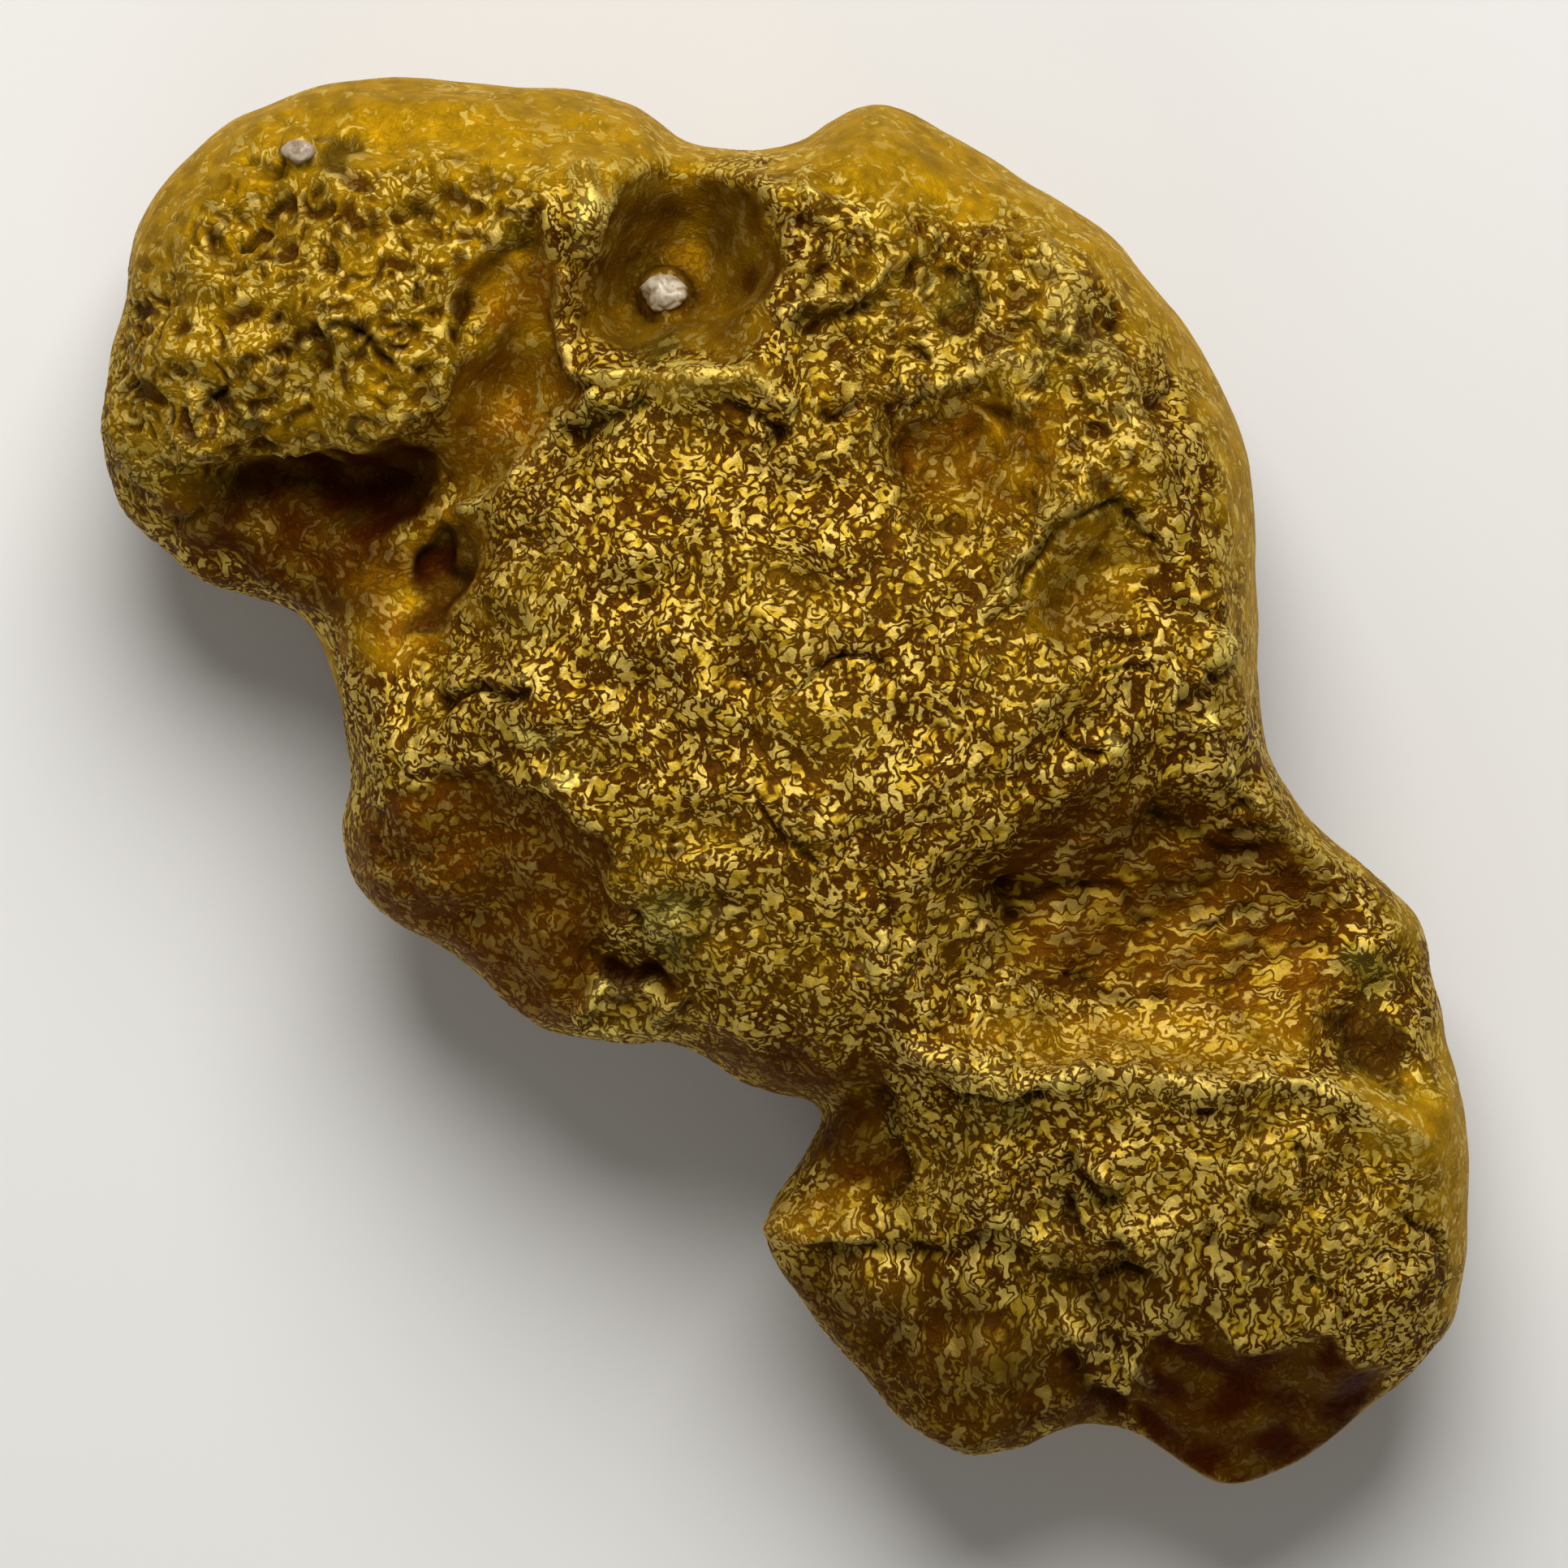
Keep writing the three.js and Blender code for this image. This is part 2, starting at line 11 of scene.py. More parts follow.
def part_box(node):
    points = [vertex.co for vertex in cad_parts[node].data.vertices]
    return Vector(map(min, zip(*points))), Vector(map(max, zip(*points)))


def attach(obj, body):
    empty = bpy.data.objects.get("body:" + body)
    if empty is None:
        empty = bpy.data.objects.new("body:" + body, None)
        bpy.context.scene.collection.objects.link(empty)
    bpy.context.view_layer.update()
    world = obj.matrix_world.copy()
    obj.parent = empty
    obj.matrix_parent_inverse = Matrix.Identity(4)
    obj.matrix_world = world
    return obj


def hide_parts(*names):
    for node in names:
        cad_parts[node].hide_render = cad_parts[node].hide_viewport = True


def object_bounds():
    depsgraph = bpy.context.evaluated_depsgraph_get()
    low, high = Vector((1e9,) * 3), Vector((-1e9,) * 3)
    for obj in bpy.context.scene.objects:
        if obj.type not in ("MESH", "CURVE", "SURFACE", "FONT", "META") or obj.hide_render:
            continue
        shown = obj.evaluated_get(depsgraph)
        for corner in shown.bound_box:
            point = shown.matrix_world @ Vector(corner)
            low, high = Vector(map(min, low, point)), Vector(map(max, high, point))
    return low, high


bl_info = {
    "name": "Gold Nugget",
    "version": (1, 0, 0),
    "blender": (4, 5, 0),
    "location": "View3D > Sidebar > Nugget",
    "description": "Builds a water-worn gold nugget with its quartz grains and a plain stage",
    "category": "Object",
}

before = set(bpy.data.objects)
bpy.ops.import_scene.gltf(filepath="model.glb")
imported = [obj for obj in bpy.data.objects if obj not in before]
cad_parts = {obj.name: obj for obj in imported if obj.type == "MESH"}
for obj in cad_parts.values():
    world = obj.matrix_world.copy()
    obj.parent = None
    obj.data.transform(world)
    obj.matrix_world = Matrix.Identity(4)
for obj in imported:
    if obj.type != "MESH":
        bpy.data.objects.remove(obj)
CAD_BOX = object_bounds()
MM = 0.001
# The gold's skin is thinned to this many triangles at the end, from its flattest places first.
MOST_TRIANGLES = 195_000
# In millimetres up: the skin is divided once above the first height, and again above the second where it is
# worn less smooth than the share that follows.
FINE_ABOVE = 2.2
FINEST_ABOVE = 2.8
WORN_SMOOTH = 0.8
# In millimetres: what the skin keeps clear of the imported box, and how close two corners are to be one.
BOX_CLEARANCE = 0.004
WELD = 0.002
# In millimetres: how far outlines and strokes waver from the places below, and how wide a scarp's break is.
OUTLINE_WAVER = 0.09
STROKE_WAVER = 0.04
SCARP_BREAK = 0.07
# Turns of easing: to round the facets off, and for the mean of the near and of the far surroundings.
ROUNDING_TURNS = 8
NEAR_TURNS = 12
FAR_TURNS = 80
# The quartz grains, with how stained each is. Gold rises round each one, between these shares of its half
# width, to this share of its height.
GRAINS = (("large", 0.1), ("small", 0.55))
COLLAR_OUTSIDE = 1.25
COLLAR_INSIDE = 0.9
COLLAR_HEIGHT = 0.6

# Places on the upper face, in millimetres along the nugget (x) and across it (y).

# Where one level stands over the next, with the high side on the left of the path: path, reach, height.
SCARPS = [
    ("head_ledge", [(-8.9, -4.5), (-8.45, -3.95), (-7.55, -3.05), (-7.15, -2.25), (-6.95, -1.65),
        (-7.05, -0.9), (-7.5, -0.55), (-7.8, -0.1), (-8.0, 0.5), (-7.95, 1.05)], 0.5, 0.2),
    ("tail_front", [(4.85, -5.75), (5.9, -4.7), (6.5, -3.8), (7.35, -3.6), (7.8, -3.3), (8.1, -3.4)],
        0.5, 0.22),
    ("foot_edge", [(-3.5, -5.0), (-2.5, -4.2), (-1.8, -4.0), (-1.2, -4.0), (-0.5, -4.4), (-0.1, -4.9)],
        0.4, 0.12),
]
# Ridges that stand up, and cracks and creases that are sunk: path, reach of the sides, height.
CRESTS = [
    ("head_knob", [(-7.85, 2.1), (-7.45, 1.95), (-7.1, 1.65)], 0.32, 0.24),
    ("head_lip", [(-8.85, -3.45), (-8.5, -3.2)], 0.16, 0.1),
    ("head_lip_low", [(-9.5, -3.7), (-9.2, -3.95)], 0.14, 0.1),
    ("wall_of_the_pit", [(-7.05, 1.05), (-6.85, 0.7), (-6.45, 0.5), (-6.1, 0.25), (-5.8, 0.35)], 0.2, 0.2),
    ("ledge_of_the_pit", [(-5.75, 0.4), (-5.0, 1.1), (-4.6, 1.6), (-4.3, 1.95), (-3.6, 2.1)], 0.2, 0.18),
    ("plateau_edge", [(-5.55, 0.1), (-5.65, -0.3), (-5.6, -0.95), (-5.6, -1.75), (-5.75, -2.15)],
        0.22, 0.14),
    ("ridge_above_the_pit", [(-4.55, 2.8), (-4.15, 3.7), (-4.0, 4.4)], 0.18, 0.16),
    ("bright_bump", [(-5.65, 4.3), (-5.35, 4.35)], 0.22, 0.14),
    ("crown_ridge", [(-2.95, 6.1), (-2.25, 5.95), (-1.75, 5.45), (-0.85, 5.65), (-0.1, 5.3)], 0.25, 0.12),
    ("dish_rim", [(-2.7, 3.25), (-2.25, 4.0), (-2.05, 4.5), (-1.55, 4.85)], 0.18, 0.12),
    ("fan_ridge", [(0.3, 2.05), (0.05, 2.6), (0.05, 3.2), (0.0, 3.9)], 0.2, 0.16),
    ("shoulder_corner", [(2.75, 3.95), (2.95, 4.0)], 0.26, 0.16),
    ("crater_rim", [(2.7, 3.3), (3.0, 2.95), (3.4, 2.95), (3.65, 3.2)], 0.14, 0.12),
    ("waist_edge", [(3.65, 3.2), (4.0, 2.85), (4.45, 2.85), (5.45, 2.9), (6.15, 3.05), (6.6, 2.8)],
        0.2, 0.1),
    ("tail_ridge", [(3.9, -2.75), (4.35, -2.6), (4.7, -2.5), (5.15, -2.25), (5.45, -1.8), (5.85, -1.5),
        (6.25, -1.05), (6.75, -0.7), (7.35, -0.15), (7.55, 0.25), (8.0, 0.55), (8.7, 0.95), (9.5, 1.15)],
        0.26, 0.24),
    ("neck_ridge", [(2.6, -2.15), (2.95, -2.5), (2.85, -1.9)], 0.22, 0.12),
    ("foot_lip", [(0.3, -5.8), (0.35, -5.4), (0.6, -5.05), (1.15, -4.75), (1.25, -5.15), (1.0, -5.5),
        (0.6, -5.8), (0.3, -5.8)], 0.16, 0.22),
    ("olive_ridges", [(0.2, -4.35), (0.5, -4.05), (0.85, -3.5)], 0.18, 0.12),
    ("foot_heel", [(-3.15, -6.7), (-2.5, -6.15)], 0.14, 0.1),
    ("slot_rim", [(6.45, -2.15), (6.8, -2.2), (7.2, -2.3)], 0.14, 0.14),
    ("lobe_ridge", [(8.1, -4.0), (8.8, -3.8), (9.5, -3.7)], 0.2, 0.16),
    ("slanted_ridge", [(6.7, -6.15), (6.6, -5.4)], 0.14, 0.1),
    ("spur_ridge", [(4.3, -6.0), (4.9, -5.65), (5.3, -5.25)], 0.2, 0.12),
]
CREASES = [
    ("under_the_head", [(-8.3, -4.5), (-7.8, -3.75), (-7.2, -2.95), (-6.6, -2.4)], 0.5, -0.08),
    ("head_corner", [(-7.95, 1.0), (-7.7, 0.95)], 0.3, -0.12),
    ("tip_slot", [(-11.2, -1.0), (-10.75, -0.75)], 0.12, -0.1),
    ("head_crack", [(-8.7, -1.65), (-8.3, -1.55), (-7.9, -1.5)], 0.1, -0.16),
    ("tip_notch", [(-10.85, -3.4), (-10.8, -3.8)], 0.16, -0.14),
    ("side_plates", [(-8.3, -4.8), (-8.4, -5.2)], 0.14, -0.12),
    ("behind_the_ledge", [(-5.45, -0.45), (-5.2, 0.1), (-5.1, 0.45)], 0.15, -0.12),
    ("along_the_ledge", [(-4.3, 1.5), (-3.5, 1.65), (-3.4, 1.3)], 0.13, -0.14),
    ("slit_of_the_ridge", [(-4.3, 2.9), (-3.9, 3.5), (-3.75, 4.0)], 0.16, -0.1),
    ("middle_crack", [(-0.75, 0.1), (-0.72, -0.4), (-0.78, -0.85)], 0.08, -0.14),
    ("middle_crack_arm", [(-0.75, 0.1), (-0.2, 0.55), (0.3, 0.5)], 0.08, -0.1),
    ("middle_crack_left", [(-1.7, -1.0), (-1.2, -0.95)], 0.08, -0.1),
    ("long_crack", [(0.0, -2.1), (0.6, -2.15), (1.1, -2.05)], 0.08, -0.1),
    ("plateau_groove", [(1.9, -1.6), (2.5, -1.8)], 0.1, -0.1),
    ("foot_slit", [(-4.0, -4.2), (-3.8, -3.75), (-3.25, -3.35)], 0.16, -0.22),
    ("foot_heel_groove", [(-3.55, -6.5), (-3.35, -6.3)], 0.1, -0.08),
    ("below_the_lip", [(1.3, -4.75), (1.25, -5.3), (0.8, -5.95)], 0.12, -0.12),
    ("fan_crease", [(0.4, 2.6), (0.3, 3.4), (0.2, 3.7), (0.4, 4.25), (0.55, 4.3), (1.2, 4.3)], 0.12, -0.12),
    ("fan_line", [(1.6, 2.8), (2.1, 3.45)], 0.09, -0.1),
    ("fan_line_right", [(2.0, 2.65), (2.4, 3.1)], 0.09, -0.1),
    ("fan_pocket", [(1.9, 3.9), (2.4, 4.2)], 0.15, -0.1),
    ("shoulder_line", [(2.3, 1.6), (2.75, 1.75)], 0.12, -0.12),
    ("trough_left_line", [(3.1, -0.6), (3.25, -1.25)], 0.11, -0.08),
    ("trough_right_line", [(3.45, -0.2), (3.95, 0.35), (4.45, 0.65), (4.8, 0.6)], 0.12, -0.1),
    ("trough_low_line", [(4.65, -0.65), (5.2, -0.45), (5.6, -0.3)], 0.11, -0.06),
    ("trough_mid_line", [(5.45, 1.2), (5.85, 1.85)], 0.11, -0.07),
    ("trough_end_line", [(6.5, 1.9), (6.75, 2.2), (6.65, 2.5)], 0.11, -0.07),
    ("trough_upper_line", [(4.0, 1.85), (4.8, 2.0), (5.25, 2.35)], 0.14, -0.08),
    ("trough_rim_line", [(4.8, 2.4), (5.1, 2.8)], 0.1, -0.07),
    ("under_the_ridge", [(6.45, -0.7), (6.7, -0.35)], 0.12, -0.12),
    ("below_the_ridge", [(4.7, -2.85), (5.1, -2.6), (5.6, -2.15)], 0.14, -0.14),
    ("tail_slot", [(6.45, -2.4), (6.8, -2.5), (7.25, -2.5)], 0.12, -0.16),
    ("rim_groove", [(10.3, 0.45), (10.85, 0.45), (11.3, 0.2), (11.6, -0.05)], 0.1, -0.1),
    ("between_the_lobes", [(8.45, -4.35), (9.15, -4.25), (9.55, -4.4)], 0.2, -0.1),
    ("cleft_crease", [(4.1, -3.75), (4.5, -3.8), (4.7, -3.95), (5.1, -4.25), (5.2, -4.5)], 0.2, -0.1),
]
# Pits: x, y, half sizes, turn in degrees, depth.
PITS = [
    ("tip_pit", -10.35, 0.0, 0.3, 0.36, 46, 0.16),
    ("head_pit_a", -10.45, -1.65, 0.2, 0.2, 46, 0.15),
    ("head_pit_b", -10.7, -2.1, 0.18, 0.16, 46, 0.13),
    ("head_pit_c", -10.15, -2.15, 0.2, 0.1, 46, 0.12),
    ("head_pit_d", -9.25, -0.5, 0.36, 0.22, 46, 0.13),
    ("head_pit_e", -9.2, 0.3, 0.28, 0.12, 46, 0.12),
    ("head_pit_f", -9.05, -2.35, 0.22, 0.32, 46, 0.17),
    ("head_pit_g", -9.15, -2.95, 0.28, 0.18, 46, 0.13),
    ("head_pit_h", -8.65, -1.95, 0.18, 0.2, 46, 0.14),
    ("head_pit_i", -7.45, -1.4, 0.26, 0.32, 46, 0.15),
    ("head_pit_j", -7.95, -0.95, 0.26, 0.2, 46, 0.12),
    ("head_pit_k", -10.4, -3.75, 0.1, 0.15, 46, 0.12),
    ("head_pit_l", -10.05, -4.4, 0.12, 0.15, 46, 0.12),
    ("head_pit_m", -9.25, -3.6, 0.14, 0.2, 46, 0.13),
    ("head_pit_n", -9.2, -4.15, 0.12, 0.2, 46, 0.12),
    ("head_pit_o", -8.5, -3.55, 0.27, 0.2, 46, 0.14),
    ("head_pit_p", -8.9, 1.1, 0.2, 0.16, 46, 0.1),
    ("olive_pit", -5.45, -2.85, 0.22, 0.5, 46, 0.16),
    ("under_the_bump", -5.2, 4.0, 0.32, 0.14, 46, 0.16),
    ("crown_pit_a", -4.6, 3.6, 0.2, 0.18, 46, 0.1),
    ("crown_pit_b", -2.95, 4.75, 0.2, 0.45, 46, 0.1),
    ("crown_pit_c", -2.85, 3.7, 0.26, 0.2, 46, 0.13),
    ("crown_pit_d", -2.15, 5.05, 0.32, 0.22, 46, 0.14),
    ("crown_pit_e", -1.55, 6.15, 0.18, 0.38, 46, 0.12),
    ("crown_pit_f", -1.45, 5.45, 0.3, 0.22, 46, 0.13),
    ("crown_pit_g", -2.9, 5.85, 0.12, 0.24, 46, 0.1),
    ("crown_pit_h", -1.5, 4.05, 0.35, 0.26, 46, 0.12),
    ("crown_pit_i", -3.1, 2.45, 0.3, 0.24, 46, 0.12),
    ("crown_pit_j", -0.25, 6.0, 0.16, 0.22, 46, 0.1),
    ("crown_pit_k", -3.5, 1.65, 0.12, 0.32, 46, 0.13),
    ("smooth_dish", -1.7, 3.05, 0.75, 0.6, 46, 0.06),
    ("fan_floor", 1.15, 3.1, 0.6, 0.7, 20, 0.06),
    ("corner_pit", 3.15, 3.8, 0.3, 0.16, 46, 0.14),
    ("little_crater", 3.15, 3.35, 0.26, 0.26, 0, 0.14),
    ("trough_mouth", 3.35, -0.35, 0.36, 0.17, 46, 0.08),
    ("trough_spot", 5.6, -0.05, 0.22, 0.15, 46, 0.1),
    ("rim_spot", 4.65, 2.65, 0.16, 0.1, 46, 0.12),
    ("waist_pocket", 8.3, 1.65, 0.42, 0.42, 46, 0.05),
    ("rim_oval", 6.65, 3.05, 0.16, 0.09, 46, 0.05),
    ("tail_pit_a", 7.2, -3.05, 0.3, 0.3, 46, 0.14),
    ("tail_pit_b", 8.05, -3.0, 0.35, 0.22, 46, 0.16),
    ("tail_pit_c", 8.6, -1.7, 0.22, 0.18, 46, 0.1),
    ("tail_pit_d", 8.95, -1.0, 0.24, 0.2, 46, 0.1),
    ("tail_pit_e", 10.3, -1.2, 0.2, 0.12, 46, 0.1),
    ("tail_pit_f", 8.8, -0.1, 0.14, 0.18, 46, 0.1),
    ("below_the_ridge_a", 5.05, -2.6, 0.26, 0.16, 46, 0.12),
    ("below_the_ridge_b", 7.3, -0.5, 0.24, 0.12, 46, 0.1),
    ("foot_slot", -0.15, -4.45, 0.2, 0.08, 46, 0.14),
    ("foot_cavity", 0.5, -4.95, 0.5, 0.22, 46, 0.08),
    ("foot_pit", -2.95, -4.5, 0.22, 0.14, 46, 0.12),
    ("middle_pit_a", -0.65, -3.3, 0.18, 0.08, 46, 0.1),
    ("middle_pit_b", -0.4, -3.5, 0.24, 0.16, 46, 0.1),
    ("ring", 0.5, -1.7, 0.12, 0.12, 0, 0.08),
]

# Parts of the face with a look of their own: how wide the edge is, the outline, how far it is sunk, all in
# millimetres, then the shares of smooth wear, orange-brown iron stain, dark brown film with painted shade
# (most on the slopes turned from the light, under ledges and in hollows), and olive film.
AREAS = [
    ("deep_pit", 0.45, [(-7.4, 2.5), (-7.0, 3.1), (-6.5, 3.6), (-5.8, 3.6), (-5.1, 3.2), (-4.8, 2.6),
        (-4.6, 2.0), (-5.3, 1.5), (-5.8, 0.9), (-6.2, 0.75), (-6.6, 0.95), (-6.8, 1.2), (-6.9, 1.7),
        (-7.3, 2.1)], 0.06, 0.7, 0.6, 0.5, 0.2),
    ("edge_of_the_pit", 0.35, [(-6.8, 3.2), (-6.4, 3.6), (-5.7, 3.6), (-5.1, 3.2), (-4.7, 2.6), (-5.0, 2.5),
        (-5.4, 3.0), (-6.1, 3.3)], 0.0, 0.9, 0.4, 0.8, 0.0),
    ("ledge_of_the_pit", 0.3, [(-5.9, 0.2), (-5.5, 0.8), (-4.9, 1.4), (-4.6, 1.9), (-4.1, 2.3), (-3.7, 2.1),
        (-4.2, 1.6), (-4.8, 0.9), (-5.4, 0.2)], 0.0, 0.5, 0.0, 0.0, 0.0),
    ("head_valley", 0.55, [(-8.0, 0.4), (-7.8, 1.1), (-7.2, 1.2), (-6.8, 0.7), (-6.3, 0.4), (-5.9, 0.1),
        (-5.7, -0.7), (-5.6, -1.7), (-5.9, -2.1), (-6.4, -2.0), (-6.7, -1.4), (-6.9, -1.0), (-7.3, -0.4),
        (-7.5, 0.0), (-8.0, 0.2)], 0.05, 0.65, 1.0, 0.3, 0.0),
    ("under_the_head", 0.4, [(-8.4, -4.3), (-8.1, -3.6), (-7.6, -3.0), (-7.2, -2.3), (-6.8, -1.9),
        (-6.3, -1.8), (-6.0, -2.4), (-6.1, -2.9), (-6.1, -3.2), (-6.6, -3.6), (-7.1, -3.8), (-7.9, -4.4)],
        0.0, 0.5, 0.5, 1.0, 0.0),
    ("plates", 0.5, [(-8.7, -5.2), (-8.4, -4.4), (-7.3, -3.6), (-6.8, -3.4), (-6.2, -2.9), (-5.7, -3.2),
        (-5.4, -3.9), (-5.6, -4.5), (-6.3, -4.6), (-7.1, -5.0), (-7.8, -5.3)], 0.0, 0.35, 0.6, 0.85, 0.0),
    ("neck", 0.6, [(-6.2, -3.7), (-5.9, -2.2), (-5.4, -2.0), (-4.6, -3.1), (-4.6, -3.8), (-5.0, -4.8),
        (-5.5, -4.7), (-6.1, -4.5)], 0.0, 0.65, 0.8, 0.15, 0.0),
    ("olive_pit", 0.3, [(-5.6, -3.2), (-5.7, -2.6), (-5.5, -2.4), (-4.9, -3.0), (-4.7, -3.5), (-5.0, -3.8),
        (-5.4, -3.6)], 0.06, 0.5, 0.0, 0.95, 1.0),
    ("foot_facet", 0.3, [(-3.3, -4.7), (-2.5, -4.2), (-1.8, -4.0), (-1.2, -4.0), (-0.5, -4.4), (-0.1, -4.9),
        (0.2, -5.3), (0.3, -5.8), (0.4, -6.2), (-0.7, -6.9), (-1.8, -7.2), (-2.9, -7.2), (-3.4, -6.8),
        (-3.7, -6.2), (-3.5, -5.4)], 0.1, 0.1, 1.0, 0.55, 0.0),
    ("foot_cavity", 0.25, [(0.1, -5.4), (0.3, -4.8), (0.7, -4.5), (1.1, -4.6), (0.8, -5.0), (0.4, -5.4)],
        0.0, 0.3, 0.4, 1.0, 0.0),
    ("foot_slope", 0.5, [(1.4, -5.6), (2.2, -4.5), (3.3, -3.6), (3.8, -3.3), (3.9, -3.7), (3.5, -4.6),
        (3.0, -5.2), (2.2, -5.6)], 0.0, 0.3, 0.6, 0.75, 0.0),
    ("cleft", 0.35, [(3.7, -4.4), (3.8, -3.8), (4.0, -3.5), (4.6, -3.9), (5.3, -4.4), (5.0, -4.7),
        (4.5, -4.8), (4.1, -5.0), (3.9, -5.2)], 0.04, 0.4, 0.4, 0.85, 0.0),
    ("trough_shade", 0.7, [(2.7, 0.5), (2.9, 1.4), (4.0, 2.1), (5.0, 2.8), (6.2, 2.9), (6.7, 2.6),
        (6.0, 1.8), (5.1, 1.0), (4.5, 0.8), (3.5, 0.2), (3.2, -0.3)], 0.03, 0.0, 0.6, 0.5, 0.0),
    ("trough_middle", 0.7, [(3.2, -0.4), (4.4, 0.9), (5.5, 1.4), (6.7, 2.3), (7.5, 2.0), (7.7, 1.4),
        (6.5, 0.4), (5.5, -0.2), (4.0, -1.1)], 0.0, 0.05, 0.8, 0.2, 0.0),
    ("trough_floor", 0.5, [(3.9, -2.3), (4.3, -1.6), (5.1, -0.9), (6.1, 0.0), (6.8, 1.1), (7.7, 1.4),
        (7.8, 0.9), (6.6, -0.5), (5.6, -1.4), (4.7, -2.2)], 0.0, 0.4, 0.4, 0.0, 0.0),
    ("waist_pocket", 0.3, [(7.6, 1.5), (7.7, 1.9), (8.3, 2.1), (8.7, 2.1), (8.9, 1.8), (8.8, 1.5),
        (8.3, 1.3), (7.9, 1.3)], 0.0, 0.2, 0.0, 0.8, 1.0),
    ("smooth_dish", 0.6, [(-2.3, 2.9), (-2.2, 3.5), (-1.7, 4.2), (-1.0, 4.6), (-0.5, 4.3), (-0.4, 3.7),
        (-0.8, 2.8), (-1.6, 2.5)], 0.05, 0.35, 0.8, 0.5, 0.0),
    ("fan", 0.25, [(0.4, 4.2), (1.0, 4.2), (1.5, 4.0), (1.8, 3.4), (1.5, 2.8), (0.8, 2.0), (0.5, 2.6),
        (0.3, 3.4)], 0.05, 0.45, 0.25, 0.0, 0.0),
    ("tail_facet", 0.35, [(9.1, -3.5), (9.1, -3.1), (9.7, -2.6), (10.4, -2.3), (10.9, -1.6), (11.5, -1.4),
        (11.9, -1.2), (12.2, -2.6), (11.9, -3.4), (11.3, -4.3), (10.4, -4.6), (9.6, -4.2)],
        0.12, 0.6, 0.4, 1.0, 0.0),
    ("lobe_flank", 0.7, [(4.7, -6.3), (5.2, -5.9), (5.8, -5.4), (6.5, -4.8), (7.7, -4.5), (8.8, -4.4),
        (9.3, -4.6), (9.0, -5.6), (8.7, -6.4), (7.8, -7.0), (6.6, -7.0), (5.4, -6.8)],
        0.0, 0.2, 0.4, 0.6, 0.3),
    ("lobe_notch", 0.3, [(8.3, -4.6), (8.8, -4.2), (9.5, -4.0), (9.8, -4.4), (9.3, -5.0)],
        0.05, 0.4, 0.3, 0.95, 0.0),
    ("lobe_shade", 0.4, [(7.3, -3.5), (7.5, -2.9), (8.3, -2.6), (8.7, -2.8), (8.3, -3.5), (7.7, -3.7)],
        0.04, 0.1, 0.1, 0.6, 0.4),
    ("spur_top", 0.5, [(4.1, -5.7), (4.4, -4.9), (4.9, -4.7), (5.4, -5.0), (4.9, -5.7), (4.3, -6.1)],
        0.0, 0.3, 0.7, 0.0, 0.0),
    ("head_rim", 1.2, [(-11.2, -1.2), (-11.0, -0.2), (-10.3, 0.2), (-9.6, 0.7), (-8.9, 1.3), (-8.3, 1.6),
        (-7.5, 2.1), (-7.3, 2.7), (-6.8, 3.4), (-6.6, 4.2), (-7.3, 4.3), (-8.1, 4.2), (-9.4, 3.5),
        (-11.2, 1.8), (-12.3, -0.1), (-12.4, -1.8), (-11.8, -3.4), (-11.1, -3.0), (-11.3, -2.1)],
        0.0, 0.8, 0.0, 0.0, 0.0),
    ("crown_rim", 1.0, [(-6.7, 3.9), (-5.9, 4.3), (-5.1, 4.8), (-4.4, 5.2), (-3.7, 5.7), (-3.0, 6.2),
        (-2.1, 6.3), (-1.1, 6.3), (0.0, 6.2), (0.9, 5.8), (2.2, 4.8), (3.7, 3.7), (4.1, 4.2), (1.9, 6.4),
        (0.0, 7.3), (-1.7, 7.4), (-3.9, 7.0), (-6.2, 6.2), (-6.7, 5.3)], 0.0, 0.8, 0.0, 0.0, 0.0),
    ("waist_rim", 0.7, [(4.4, 3.4), (5.7, 3.1), (6.8, 3.2), (7.5, 2.9), (7.9, 3.3), (7.3, 3.7), (5.7, 3.6),
        (4.5, 3.9)], 0.0, 0.6, 0.0, 0.0, 0.3),
    ("tail_rim", 0.8, [(9.2, 1.9), (8.7, 1.4), (8.1, 1.0), (9.3, 0.9), (10.3, 0.8), (11.2, 0.4),
        (11.7, -0.5), (12.1, 0.3), (10.5, 2.3), (9.2, 2.9), (8.7, 2.6)], 0.0, 0.75, 0.0, 0.0, 0.0),
]
# Patches of thin olive film: x, y, half sizes, turn, share.
OLIVE = [
    ("waist_side", 7.6, 2.3, 0.6, 0.5, 46, 0.7),
    ("tip_pit", -10.35, 0.0, 0.42, 0.45, 46, 0.9),
    ("crown_pits", -3.0, 4.7, 0.45, 0.6, 46, 0.7),
    ("crown_pits_right", -1.5, 5.4, 0.7, 0.7, 46, 0.5),
    ("foot_ridges", 0.4, -4.1, 0.7, 0.6, 0, 0.9),
    ("tail_olive", 7.0, -3.2, 1.2, 0.5, 46, 0.35),
    ("pit_floor", -5.6, 1.3, 0.7, 0.35, 46, 0.7),
    ("ledge_slit", -5.2, 0.1, 0.5, 0.2, 46, 0.7),
    ("below_the_tail_ridge", 5.3, -2.6, 0.7, 0.25, 46, 0.6),
    ("head_tip", -9.2, -4.9, 0.6, 0.4, 46, 0.4),
]
